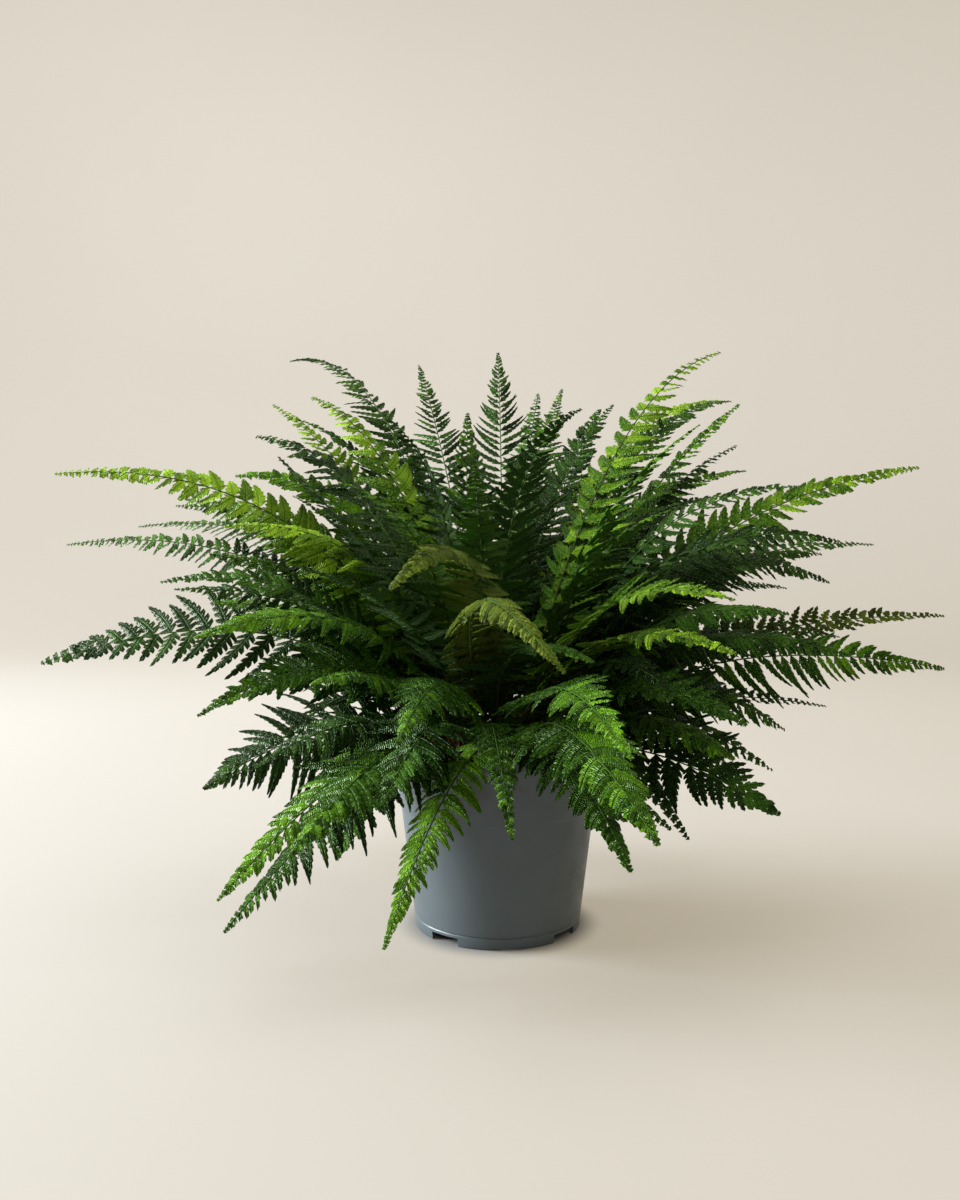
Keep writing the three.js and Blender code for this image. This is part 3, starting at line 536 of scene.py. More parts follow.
def leafletShape(lobes, kind):
    # unit leaflet: u runs out from the rachis, v across (positive towards the frond's tip), w is relief
    r = lobeRule
    ends = 1 - (1 - np.arange(lobes + 1) / (lobes + r["tipRoom"])) ** r["crowding"]
    rows, tops = [], []   # rows: u, v, w on top, w below, lobe number

    def point(u, v, high, low, lobe):
        rows.append((u, v, high, low, lobe))
        return len(rows) - 1

    def notch(k, hand):
        if k == 0:
            return point(r["footNotch"][0], hand * r["footNotch"][1], 0, 0, 0)
        cut = mix(*leafletRule["cut"][kind], ends[k] ** r["cutFade"])
        return point(ends[k] + r["lean"] * cut * r["notchLean"], hand * cut * leafletOutline(ends[k]),
                     r["notchHigh"], r["notchHigh"], k)

    base = point(0, 0, 0, 0, 0)
    costa = [base] + [point(u, 0, r["costaHigh"], r["costaLow"], k + 1) for k, u in enumerate(ends[1:])]
    tip = point(1, 0, 0, 0, lobes + 1)
    inner = set(costa[1:])
    marks = r["toothEdge"] if kind in ("toothed", "slender") else r["lobeEdge"]
    for hand in (1, -1):
        before = notch(0, hand)
        for k in range(lobes):
            after = notch(k + 1, hand)
            first, last = ends[k], ends[k + 1]
            middle = (first + last) / 2
            reach = leafletOutline(middle) * (r["ear"] if (k == 0 and hand > 0 and lobes > 2) else 1)
            lead = r["lean"] * reach
            heart = point(middle + lead * r["heartLean"], hand * r["heart"] * reach, 1, r["heartLow"],
                          k + 0.5)
            inner.add(heart)
            edge = [point(first + along * (last - first) + lead, hand * out * reach, r["edgeHigh"],
                          r["edgeHigh"], k + vein) for along, out, vein in marks]
            ring = [costa[k], before, *edge, after, costa[k + 1]]
            for i, corner in enumerate(ring):
                nextCorner = ring[(i + 1) % len(ring)]
                tops.append((heart, nextCorner, corner) if hand > 0 else (heart, corner, nextCorner))
            before = after
        tops.append((costa[-1], tip, before) if hand > 0 else (costa[-1], before, tip))
    rows = np.array(rows, float)
    # inner points have a twin below, the edge is shared
    twin = np.arange(len(rows))
    for number, i in enumerate(sorted(inner)):
        twin[i] = len(rows) + number
    low = rows[sorted(inner)].copy()
    low[:, 2] = low[:, 3]
    places = np.vstack([rows, low])
    tops = np.array(tops)
    bottoms = twin[tops][:, ::-1]
    uvs = np.stack([places[:, 4], np.abs(places[:, 1])], axis=1)
    faceUv = np.concatenate([uvs[tops], uvs[bottoms] + np.array([0, 2.0])])
    return {"u": places[:, 0], "v": places[:, 1], "w": places[:, 2],
            "faces": np.concatenate([tops, bottoms]), "uv": faceUv}


leafletShapes = {(lobes, kind): leafletShape(lobes, kind)
                 for lobes in range(1, leafletRule["mostLobes"] + 1) for kind in leafletRule["width"]}


def growLeaflet(shape, base, axes, hand, length, half, sweep, curl, sag, twist):
    along, side, up = axes
    u, v, w = shape["u"], shape["v"], shape["w"]
    angle = sweep + curl * u
    out = length * (np.sin(angle) - math.sin(sweep)) / curl
    forward = length * (math.cos(sweep) - np.cos(angle)) / curl
    size = min(1, half / leafletRule["flatBelow"])
    relief = w * leafletRule["relief"] * size - leafletRule["marginDrop"] * size * v ** 2
    drop = length * (leafletRule["arch"] * u * (1 - u) - sag * u ** leafletRule["sagPower"])
    across = v * half
    x = out - across * np.sin(angle) * math.cos(twist)
    y = forward + across * np.cos(angle) * math.cos(twist)
    z = drop + relief + across * math.sin(twist)
    points = base + hand * np.outer(x, side) + np.outer(y, along) + np.outer(z, up)
    faces = shape["faces"] if hand > 0 else shape["faces"][:, ::-1]
    uv = shape["uv"] if hand > 0 else shape["uv"][:, ::-1]
    return points, faces, uv


# the stalks, flat tubes with a lifted middle
stalkRule = {"sides": 6, "rings": 30, "depth": 0.5, "lift": 0.35, "endSize": 0.4, "endReach": 1.0}


def ribSize(shares, bare):
    foot, blade, tip = (np.array(frondRule[key]) for key in ("ribFoot", "ribBlade", "ribTip"))
    low = mix(foot[None], blade[None], (shares / bare)[:, None])
    high = mix(blade[None], tip[None], ((shares - bare) / (1 - bare))[:, None])
    return np.where((shares < bare)[:, None], low, high)


def growStalk(curve, frond):
    sides = stalkRule["sides"]
    shares = np.linspace(0, 1, stalkRule["rings"])
    along, side, up = axesAt(curve, shares, frond)
    middle = alongCurve(curve, shares, "points")
    size = ribSize(shares, frond["bare"])
    size[-1] *= stalkRule["endSize"]
    turns = np.arange(sides) / sides * 2 * math.pi + math.pi / 2
    sideways = size[:, 0, None] * np.cos(turns)
    upwards = size[:, 1, None] * (stalkRule["depth"] * np.sin(turns) + stalkRule["lift"])
    rings = middle[:, None] + side[:, None] * sideways[..., None] + up[:, None] * upwards[..., None]
    points = np.vstack([rings.reshape(-1, 3), middle[:1], middle[-1:] + along[-1:] * stalkRule["endReach"]])
    faces = []
    for i in range(len(shares) - 1):
        for j in range(sides):
            a, b = i * sides + j, i * sides + (j + 1) % sides
            faces += [(a, b, b + sides), (a, b + sides, a + sides)]
    first, last = len(points) - 2, len(points) - 1
    top = (len(shares) - 1) * sides
    for j in range(sides):
        faces += [(first, (j + 1) % sides, j), (last, top + j, top + (j + 1) % sides)]
    tones = np.concatenate([np.repeat(shares, sides), [0, 1]])
    return points, np.array(faces), tones


def slimBlades(seat, flat, wide, ridge, tip):
    # closed blades of four faces each: two corners at the foot, a ridge on one side and a tip
    points = np.stack([seat - flat * wide / 2, seat + flat * wide / 2, ridge, tip], axis=1).reshape(-1, 3)
    start = np.arange(len(seat))[:, None] * 4
    pattern = np.array([(0, 2, 1), (0, 1, 3), (1, 2, 3), (0, 3, 2)])
    return points, (start[:, :, None] + pattern[None]).reshape(-1, 3)


# the stalks' scales; a pair is the least of a measure and what a draw adds to it
scaleRule = {
    "step": 2.2, "reach": 0.55, "rustyReach": 0.85, "start": 0.02, "crowding": 1.5, "seat": 0.8, "fade": 0.65,
    "length": 5.5, "width": 1.1, "lengthDraw": (0.6, 0.8), "widthDraw": (0.7, 0.6),
    "along": (0.9, 0.5), "out": (0.25, 0.75), "ridge": {"along": 0.3, "high": 0.35},
}


def drawn(pair, draws):
    return pair[0] + pair[1] * draws


def growScales(curve, frond, rng):
    # lance-shaped papery scales on the stalk, dense at its foot and few along the blade
    r = scaleRule
    reach = r["rustyReach"] if frond["tone"] in ("olive", "light") else r["reach"]
    count = int(curve["length"] * reach / r["step"])
    shares = reach * rng.random(count) ** r["crowding"]
    shares = np.sort(np.clip(shares, r["start"], reach))
    along, side, up = axesAt(curve, shares, frond)
    middle = alongCurve(curve, shares, "points")
    size = ribSize(shares, frond["bare"])
    turns = rng.random(count) * 2 * math.pi
    out = side * np.cos(turns)[:, None] + up * np.sin(turns)[:, None]
    seat = middle + side * (size[:, 0] * np.cos(turns) * r["seat"])[:, None]
    high = stalkRule["depth"] * np.sin(turns) * r["seat"] + stalkRule["lift"]
    seat = seat + up * (size[:, 1] * high)[:, None]
    fade = 1 - r["fade"] * np.clip(shares / reach, 0, 1)
    long = (r["length"] * fade * drawn(r["lengthDraw"], rng.random(count)))[:, None]
    wide = (r["width"] * fade * drawn(r["widthDraw"], rng.random(count)))[:, None]
    lean = unit(along * drawn(r["along"], rng.random(count))[:, None]
                + out * drawn(r["out"], rng.random(count))[:, None])
    ridge = seat + out * r["ridge"]["high"] + lean * (r["ridge"]["along"] * long)
    return slimBlades(seat, unit(np.cross(lean, out)), wide, ridge, seat + lean * long)


# fronds that stand out in front, by direction and reach: kind of leaflet, spacing of pairs, change of tone
# and share of the length
frondLooks = {
    (89, 82): ("slender", 6.2, 0, 1), (112, 219): ("slender", 6.4, 0, 1), (75, 310): ("slender", 6.4, 0, 1),
    (187, 395): ("lacy", 14.5, -0.1, 1), (167, 437): ("slender", 7.2, -0.2, 0.92),
    (203, 260): ("toothed", 7.8, 0.0, 1), (180, 396): ("toothed", 11.0, 0.25, 0.95),
    (140, 284): ("slender", 7.6, -0.1, 0.8), (229, 303): ("toothed", 8.4, 0.15, 0.86),
    (26, 239): ("slender", 12.0, -0.05, 0.9), (39, 316): ("toothed", 9.5, 0, 1),
    (1, 379): ("toothed", 9.5, -0.3, 0.9), (353, 385): ("toothed", 6.9, -0.2, 0.86),
    (7, 428): ("lacy", 9.0, -0.3, 1), (303, 286): ("slender", 9.5, 0.1, 1),
    (300, 300): ("slender", 9.0, 0, 1), (283, 331): ("slender", 8.6, 0.15, 0.78),
    (285, 344): ("lobed", 10.5, -0.2, 0.95), (247, 218): ("toothed", 6.4, 0.4, 0.85),
    (219, 267): ("toothed", 7.8, 0.1, 0.85), (258, 330): ("toothed", 8.0, -0.1, 0.8),
    (277, 297): ("slender", 7.5, -0.1, 1), (321, 265): ("lobed", 9.0, 0.15, 1),
    (255, 269): ("toothed", 8.0, -0.15, 0.9), (219, 288): ("toothed", 8.4, 0.1, 0.88),
    (223, 296): ("toothed", 7.8, 0.05, 0.88), (15, 388): ("slender", 9.0, 0, 1),
    (272, 232): ("toothed", 7.0, -0.5, 1.2), (303, 225): ("slender", 8.0, -0.6, 0.8),
    (150, 205): ("lobed", 10.5, 0.1, 1), (143, 289): ("slender", 10.5, 0.1, 1),
    (195, 239): ("toothed", 9.5, 0.1, 1),
}


def leafletKind(frond, rng):
    r = leafletRule
    draw = rng.random()
    slenderShare = r["slenderShare"] * (r["slenderDark"] if frond["tone"] == "dark" else r["slenderPale"])
    if draw < slenderShare:
        return "slender"
    return "toothed" if draw < slenderShare + r["toothedShare"] else "lobed"


def leafletPlaces(frond, curve, spacing, offset):
    # shares of the stalk that carry leaflets, and how long each is against the frond's half width
    r = leafletRule
    bare = frond["bare"]
    pairs = int(np.clip(round(curve["length"] * (1 - bare) / spacing), r["leastPairs"], r["mostPairs"]))
    places = 1 - (1 - (np.arange(pairs) + offset) / pairs) ** r["crowding"]
    blade = mix(bare, 1, places)
    step = blade[1] - blade[0]
    lowCount = int(bare * (1 - r["lowStart"]) / step)
    lowShares = blade[0] - step * np.arange(lowCount, 0, -1)
    fade = (lowShares - bare * r["lowStart"]) / (bare * (1 - r["lowStart"]))
    lowSizes = mix(r["lowLength"], bladeOutline(0), np.clip(fade, 0, 1))
    return (np.concatenate([lowShares, blade]), np.concatenate([np.zeros(lowCount), places]),
            np.concatenate([lowSizes, bladeOutline(places)]))


def clearOfRim(points):
    # lifts what would dip into the pot's rim
    rim = frondRule["rim"]
    near = np.hypot(points[:, 0], points[:, 1]) < rim["radius"]
    points[:, 2] = np.where(near, np.maximum(points[:, 2], rim["height"]), points[:, 2])
    return points


def paintedInnerShade(place):
    # painted shade: 1 in the heart of the plant, where the leaflets are made darker
    inner = leafletRule["inner"]
    far = np.linalg.norm(place - np.array(inner["centre"]))
    return 1 - smoothStep(far, inner["near"], inner["far"])


def growFrond(frond, foot, tip, bend, seed):
    r = leafletRule
    rng = np.random.default_rng(seed)
    curve = frondCurve(frond, foot, tip, bend)
    frond = {**frond, "waver": frondRule["waver"] * rng.uniform(-1, 1)}
    kind = leafletKind(frond, rng)
    narrow = r["narrow"]["least"] + r["narrow"]["more"] * min(1, frond["halfWidth"] / r["narrow"]["below"])
    spacing = mix(*r["pairSpacing"], rng.random()) * narrow
    kind, spacing, shade, trim = frondLooks.get((frond["direction"], frond["reach"]), (kind, spacing, 0, 1))
    width = mix(*r["width"][kind], rng.random())
    fold = math.radians(mix(*r["fold"], rng.random()))
    curl = mix(*r["curl"], rng.random())
    frondAge = r["age"] * rng.random() ** r["agePower"] + shade
    darker = mix(*r["inner"]["darker"], rng.random())
    stalkPoints, stalkFaces, stalkTones = growStalk(curve, frond)
    scalePoints, scaleFaces = growScales(curve, frond, rng)
    parts = [
        (stalkPoints, stalkFaces, np.zeros((len(stalkFaces), 3, 2)), stalkTones, "stalk"),
        (scalePoints, scaleFaces, np.zeros((len(scaleFaces), 3, 2)), np.zeros(len(scalePoints)), "scales"),
    ]
    for hand, offset in r["offsets"]:
        shares, places, sizes = leafletPlaces(frond, curve, spacing, offset)
        gaps = np.gradient(shares) * curve["length"]
        along, side, up = axesAt(curve, shares, frond)
        middle = alongCurve(curve, shares, "points")
        for i, place in enumerate(places):
            length = frond["halfWidth"] * sizes[i] * r["reach"] * trim
            length = length * (1 - r["tipSlim"] * place ** 3) + r["least"]
            length *= 1 + r["lengthJitter"] * rng.uniform(-1, 1)
            # the leaflets run together towards the tip
            closer = (1 + r["tipWider"] * place ** 4) * (1 + r["widthJitter"] * rng.uniform(-1, 1))
            mostHalf = length * mix(*r["plump"], place ** 3) + r["leastHalf"]
            half = min(gaps[i] * 0.5 * width * closer, mostHalf)
            bent = math.radians(max(r["leastCurl"], curl + r["curlJitter"] * rng.uniform(-1, 1)))
            sweep = mix(r["sweepBase"], r["sweepTip"], place) + r["sweepEnd"] * place ** 4
            sweep = math.radians(sweep + r["sweepJitter"] * rng.uniform(-1, 1)) - bent * r["uncurl"]
            sag = r["sag"] * (1 + r["sagJitter"] * rng.uniform(-1, 1)) + math.sin(fold)
            twist = math.radians(r["twistJitter"] * rng.uniform(-1, 1) + r["twist"])
            lobes = int(np.clip(round(length / r["lobeLength"]), 1, r["mostLobes"]))
            shape = leafletShapes[(lobes, kind if lobes > r["plainLobes"] else "toothed")]
            seat, axes = middle[i] + up[i] * r["seatLift"], (along[i], side[i], up[i])
            points, faces, uv = growLeaflet(shape, seat, axes, hand, length, half, sweep, bent, sag, twist)
            age = frondAge + r["tipYoung"] * place ** 2
            # the painted shade darkens the leaflets in the heart of the plant
            age += r["toneJitter"] * rng.uniform(-1, 1) - darker * paintedInnerShade(middle[i])
            parts.append((clearOfRim(points), faces, uv, np.full(len(points), age), frond["tone"]))
    return parts


def joinParts(parts, slots):
    points, faces, uvs, tones, slotOfFace = [], [], [], [], []
    start = 0
    for partPoints, partFaces, partUv, partTones, kind in parts:
        points.append(partPoints)
        faces.append(partFaces + start)
        uvs.append(partUv)
        tones.append(partTones)
        slotOfFace.append(np.full(len(partFaces), slots.index(kind)))
        start += len(partPoints)
    return (np.concatenate(points), np.concatenate(faces), np.concatenate(uvs), np.concatenate(tones),
            np.concatenate(slotOfFace))


def dress(piece, nodeName):
    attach(piece, "root")
    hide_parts(nodeName)


materialsByKind = {**leafMaterials, "stalk": stalk, "scales": scales}
leafTriangles = 0
furthestOff = 0
for number, spray in enumerate(allSprays()):
    nodeName = f"frond_{number + 1:02d}"
    corners = nodePoints(nodeName)
    foot = footOf(corners)
    parts = []
    for member, frond in enumerate(spray):
        tip, bend, off = bendOf(frond, corners)
        furthestOff = max(furthestOff, off)
        parts += growFrond(frond, foot, tip, bend, number * 10 + member)
    kinds = ["stalk", "scales"] + sorted({frond["tone"] for frond in spray})
    points, faces, uv, tones, slotOfFace = joinParts(parts, kinds)
    leafTriangles += len(faces)
    piece = addPiece(f"fineFrond_{number + 1:02d}", points, faces, [materialsByKind[kind] for kind in kinds],
                     slotOfFace, uv, tones)
    dress(piece, nodeName)
print("fronds grown,", leafTriangles, "triangles, furthest tip off by", round(float(furthestOff), 3), "mm")


# the pot: a lathe with a groove, a band line and a rolled lip, cut through at its foot and floor
potRule = {
    "height": 164, "footRadius": 74.2, "lean": 0.119, "wall": 2, "draft": 1.2, "columns": 168, "sharp": 32,
    "bandBottom": 109, "bandDepth": 1.2, "lipRadius": 95, "lipHeight": 8.5, "lipWall": 3.8,
    "grooveHeight": 10.6, "grooveDepth": 0.9, "grooveHalf": 0.8,
    "panRadius": 50, "channelRoof": 8, "footRing": 3.2, "cutter": {"inside": 8, "outside": 6, "below": -1},
    "notch": {"width": 29, "height": 7.5, "directions": (51, 141, 231, 321)},
    "vent": {"width": 12, "height": 1.2, "directions": (6, 96, 186, 276)},
    "drain": {"radius": 4.4, "ring": 60, "count": 6, "sides": 24, "reach": 4},
}


def potRadius(height):
    return potRule["footRadius"] + potRule["lean"] * height


def rounded(corner, before, after, size, steps=4):
    # a corner of a profile rounded off by a short curve
    corner, before, after = (np.array(point, float) for point in (corner, before, after))
    start = corner + (before - corner) / np.linalg.norm(before - corner) * size
    end = corner + (after - corner) / np.linalg.norm(after - corner) * size
    shares = np.linspace(0, 1, steps + 1)[:, None]
    return ((1 - shares) ** 2 * start + 2 * shares * (1 - shares) * corner + shares ** 2 * end).tolist()


def roundedProfile(corners):
    # corners as (radius, height, rounding)
    places = [corner[:2] for corner in corners]
    profile = []
    for i, (radius, height, size) in enumerate(corners):
        if size == 0 or i in (0, len(corners) - 1):
            profile.append([radius, height])
        else:
            profile += rounded(places[i], places[i - 1], places[i + 1], size)
    return profile


def potProfile():
    r = potRule
    foot, roof = potRadius(0), r["channelRoof"]
    floor = roof + r["wall"]
    lipBottom = r["height"] - r["lipHeight"]
    high, half, depth = r["grooveHeight"], r["grooveHalf"], r["grooveDepth"]
    band, step, wall = r["bandBottom"], r["bandDepth"], r["wall"]
    draft = r["draft"]
    return roundedProfile([
        (0, 0, 0), (r["panRadius"], 0, 1), (r["panRadius"] + draft, roof, 0.5),
        (foot - r["footRing"] - draft, roof, 0.5), (foot - r["footRing"], 0, 0.4), (foot, 0, 1.3),
        (potRadius(high - half), high - half, 0.3), (potRadius(high) - depth, high, 0.5),
        (potRadius(high + half), high + half, 0.3),
        (potRadius(band), band, 0.8), (potRadius(band) + step, band + step, 0.5),
        (potRadius(lipBottom) + step, lipBottom - 1, 0.5), (r["lipRadius"], lipBottom, 0.7),
        (r["lipRadius"], r["height"], 1.6), (r["lipRadius"] - r["lipWall"], r["height"], 1.3),
        (potRadius(lipBottom) - wall, lipBottom - draft, 0.8), (potRadius(floor + 2) - wall, floor + 2, 0.5),
        (potRadius(floor) - wall - draft, floor, 0.5), (r["panRadius"] - 1, floor, 0.4),
        (r["panRadius"] - wall, wall, 0.5), (0, wall, 0),
    ])


def growTurned(outline, columns):
    # a closed lathe from a point on the axis to another
    profile = np.array(outline, float)
    turns = np.arange(columns) / columns * 2 * math.pi
    rings = profile[1:-1]
    points = np.stack([rings[:, 0, None] * np.cos(turns), rings[:, 0, None] * np.sin(turns),
                       np.repeat(rings[:, 1, None], columns, axis=1)], axis=-1).reshape(-1, 3)
    points = np.vstack([points, [[0, 0, profile[0, 1]], [0, 0, profile[-1, 1]]]])
    first, last = len(points) - 2, len(points) - 1
    faces = []
    for j in range(columns):
        k = (j + 1) % columns
        faces.append((first, k, j))
        for i in range(len(rings) - 1):
            a, b = i * columns + j, i * columns + k
            faces += [(a, b, b + columns), (a, b + columns, a + columns)]
        faces.append((last, (len(rings) - 1) * columns + j, (len(rings) - 1) * columns + k))
    return points, np.array(faces)


def blockCutter(cut, direction):
    # a block from below, through the foot ring
    cutter = potRule["cutter"]
    low, high = potRadius(0) - cutter["inside"], potRadius(0) + cutter["outside"]
    corners = [(x, y, z) for x in (low, high) for y in (-cut["width"] / 2, cut["width"] / 2)
               for z in (cutter["below"], cut["height"])]
    faces = [(0, 1, 3, 2), (4, 6, 7, 5), (0, 4, 5, 1), (2, 3, 7, 6), (0, 2, 6, 4), (1, 5, 7, 3)]
    return corners, faces, direction


def roundCutter(drain, number):
    # a round bar, through the floor of the channel
    sides = drain["sides"]
    middle = potRule["channelRoof"] + potRule["wall"] / 2
    turns = [2 * math.pi * i / sides for i in range(sides)]
    corners = [(drain["ring"] + drain["radius"] * math.cos(turn), drain["radius"] * math.sin(turn), height)
               for height in (middle - drain["reach"], middle + drain["reach"]) for turn in turns]
    faces = [tuple(range(sides))[::-1], tuple(range(sides, 2 * sides))]
    faces += [(i, (i + 1) % sides, sides + (i + 1) % sides, sides + i) for i in range(sides)]
    return corners, faces, (number + 0.5) * 360 / drain["count"]


def cutThrough(piece, cutters):
    # takes the cutters away from a piece and leaves plain triangles
    points, faces = [], []
    for corners, sides, direction in cutters:
        angle = math.radians(direction)
        faces += [tuple(len(points) + i for i in side) for side in sides]
        points += [((x * math.cos(angle) - y * math.sin(angle)) * metre,
                    (x * math.sin(angle) + y * math.cos(angle)) * metre, z * metre) for x, y, z in corners]
    mesh = bpy.data.meshes.new("cutter")
    mesh.from_pydata(points, [], faces)
    tool = bpy.data.objects.new("cutter", mesh)
    bpy.context.scene.collection.objects.link(tool)
    cut = piece.modifiers.new("cut", "BOOLEAN")
    cut.operation, cut.solver, cut.object = "DIFFERENCE", "EXACT", tool
    piece.modifiers.new("plain", "TRIANGULATE")
    done = bpy.data.meshes.new_from_object(piece.evaluated_get(bpy.context.evaluated_depsgraph_get()))
    piece.modifiers.clear()
    piece.data = done
    bpy.data.objects.remove(tool)
    done.polygons.foreach_set("use_smooth", np.ones(len(done.polygons), bool))
    done.set_sharp_from_angle(angle=math.radians(potRule["sharp"]))


# matt grey plastic, paler in clouds and dusty towards the rim; lengths in metres
potFinish = {
    "color": (0.050, 0.068, 0.079), "pale": (0.070, 0.093, 0.108), "paleShare": 0.5, "cloudScale": 9.0,
    "dust": (0.052, 0.049, 0.040), "dustFrom": 0.10, "dustTo": 0.16, "dustLeast": 0.1, "dustMost": 0.55,
    "roughness": 0.38, "glossier": -0.05, "duller": 0.12, "grain": 900.0, "grainDepth": 0.0002,
}


def potMaterial():
    finish = potFinish
    material, tree = newMaterial("grey_plastic")
    place = node(tree, "TexCoord").outputs["Object"]
    height = node(tree, "SeparateXYZ", None, {"Vector": place}).outputs["Z"]
    clouds = ramp(tree, noise(tree, finish["cloudScale"]), 0.3, 0.7, 0.0, finish["paleShare"])
    smears = noise(tree, 46.0, 4.0, 0.6)
    color = mixColors(tree, clouds, finish["color"], finish["pale"])
    dusty = ramp(tree, height, finish["dustFrom"], finish["dustTo"], finish["dustLeast"], finish["dustMost"])
    dusty = mathNode(tree, "MULTIPLY", dusty, ramp(tree, smears, 0.48, 0.66))
    color = mixColors(tree, dusty, color, finish["dust"])
    rough = ramp(tree, smears, 0.3, 0.7, finish["roughness"] + finish["glossier"],
                 finish["roughness"] + finish["duller"])
    bump = bumpFrom(tree, noise(tree, finish["grain"], 2.0), 0.25, finish["grainDepth"])
    plainSurface(tree, color, rough, bump)
    return material


# the soil's crumbled top, and the crown of scales and old stubs that the stalks grow from
soilRule = {
    "top": 146, "gap": 0.4, "hole": 71, "flatRim": 70.8, "rings": 26, "columns": 150,
    "lumps": 1.6, "lumpSize": 4.0, "lumpSeed": 5, "settle": 2.5,
    "hollow": ((70.6, 143), (66.6, 130.6), (46.6, 121.6), (0, 121.6)),
    "crumbs": 900, "crumbSize": (0.8, 2.6), "crumbRing": (71, 87), "crumbPower": 2.5, "crumbSeed": 31,
    "dark": (0.012, 0.008, 0.005), "brown": (0.055, 0.032, 0.018), "straw": (0.16, 0.11, 0.06),
    "roughness": 0.95, "strawShare": 0.7, "grain": 700.0, "grainDepth": 0.0008,
}
crownRule = {
    "radius": 70, "bottom": 122, "edge": 147, "top": 162, "rings": 30, "columns": 130,
    "under": ((46, 122), (66, 131), (70, 144)), "lumps": 2.2, "lumpSize": 6.0, "lumpSeed": 9,
    "lumpsAbove": 145, "settle": (1, 6), "rim": 2, "scaleSeed": 32,
    "scales": 5200, "scaleLength": (4, 13), "scaleWidth": (0.7, 1.6), "longPower": 1.6,
    "lean": 0.45, "outward": 0.35, "sunk": 1.5, "ridge": 0.4,
    "dark": (0.020, 0.010, 0.006), "rust": (0.105, 0.045, 0.016),
    "roughness": 0.85, "grain": 800.0, "grainDepth": 0.0006,
}
rippleRule = {"waves": 5, "finer": 1.8, "lower": 1.7, "bend": 1.4, "even": 2.2}


def ripple(x, y, seed, size):
    # smooth lumps from a few waves in odd directions, each finer and lower than the one before
    rng = np.random.default_rng(seed)
    total = np.zeros_like(x)
    for number in range(rippleRule["waves"]):
        turn, phase = rng.uniform(0, 6.28), rng.uniform(0, 6.28)
        scale = size / rippleRule["finer"] ** number
        across = (x * math.cos(turn) + y * math.sin(turn)) / scale + phase
        wave = np.sin(across + rippleRule["bend"] * np.sin(y / scale + phase))
        total += wave / rippleRule["lower"] ** number
    return total / rippleRule["even"]


def growSoil():
    r, pot = soilRule, potRule
    wall, pan = pot["wall"] + r["gap"], pot["panRadius"]
    floor = pot["channelRoof"] + pot["wall"]
    outer = potRadius(r["top"]) - wall
    rim = [(mix(outer, r["hole"], i / (r["rings"] - 1)), r["top"]) for i in range(r["rings"])]
    outline = [(0, wall), (pan - wall, wall), (pan - 1 - r["gap"], floor + r["gap"]),
               (potRadius(floor) - wall - pot["draft"], floor + r["gap"]),
               (potRadius(floor + 2) - wall, floor + 2), *rim, *r["hollow"]]
    points, faces = growTurned(outline, r["columns"])
    radius = np.hypot(points[:, 0], points[:, 1])
    lift = ripple(points[:, 0], points[:, 1], r["lumpSeed"], r["lumpSize"]) * r["lumps"]
    isTop = (points[:, 2] > r["top"] - 0.1) & (radius > r["flatRim"])
    points[:, 2] += np.where(isTop, lift * smoothStep(outer - radius, 0, r["settle"]), 0)
    return points, faces


def addCrumbs(points, faces, rng):
    # loose crumbs on the soil, as small closed lumps of eight faces
    r = soilRule
    low, high = r["crumbSize"]
    octahedron = np.array([(1, 0, 0), (0, 1, 0), (-1, 0, 0), (0, -1, 0), (0, 0, 1), (0, 0, -1)], float)
    pattern = np.array([(0, 1, 4), (1, 2, 4), (2, 3, 4), (3, 0, 4),
                        (1, 0, 5), (2, 1, 5), (3, 2, 5), (0, 3, 5)])
    allPoints, allFaces, start = [points], [faces], len(points)
    for _ in range(r["crumbs"]):
        turn, radius = rng.uniform(0, 2 * math.pi), rng.uniform(*r["crumbRing"])
        size = low + (high - low) * rng.random() ** r["crumbPower"]
        shape = octahedron * (size * rng.uniform(0.5, 1.1, (6, 1))) * rng.uniform(0.6, 1.0, 3)
        spin = rng.uniform(0, math.pi)
        spun = shape.copy()
        spun[:, 0] = shape[:, 0] * math.cos(spin) - shape[:, 1] * math.sin(spin)
        spun[:, 1] = shape[:, 0] * math.sin(spin) + shape[:, 1] * math.cos(spin)
        height = r["top"] + 0.3 * size + rng.uniform(-0.6, 1.0)
        allPoints.append(spun + np.array([radius * math.cos(turn), radius * math.sin(turn), height]))
        allFaces.append(pattern + start)
        start += len(octahedron)
    return np.concatenate(allPoints), np.concatenate(allFaces)


def domeHeight(radius):
    return mix(crownRule["top"], crownRule["edge"], (radius / crownRule["radius"]) ** 2)


def growCrown():
    r = crownRule
    dome = [(radius, domeHeight(radius)) for radius in np.linspace(r["radius"] - r["rim"], 0.6, r["rings"])]
    points, faces = growTurned([(0, r["bottom"]), *r["under"], *dome, (0, r["top"])], r["columns"])
    radius = np.hypot(points[:, 0], points[:, 1])
    lift = ripple(points[:, 0], points[:, 1], r["lumpSeed"], r["lumpSize"]) * r["lumps"]
    isTop = (points[:, 2] > r["lumpsAbove"]) & (radius > 1)
    points[:, 2] += np.where(isTop, lift * smoothStep(r["radius"] - radius, *r["settle"]), 0)
    return points, faces


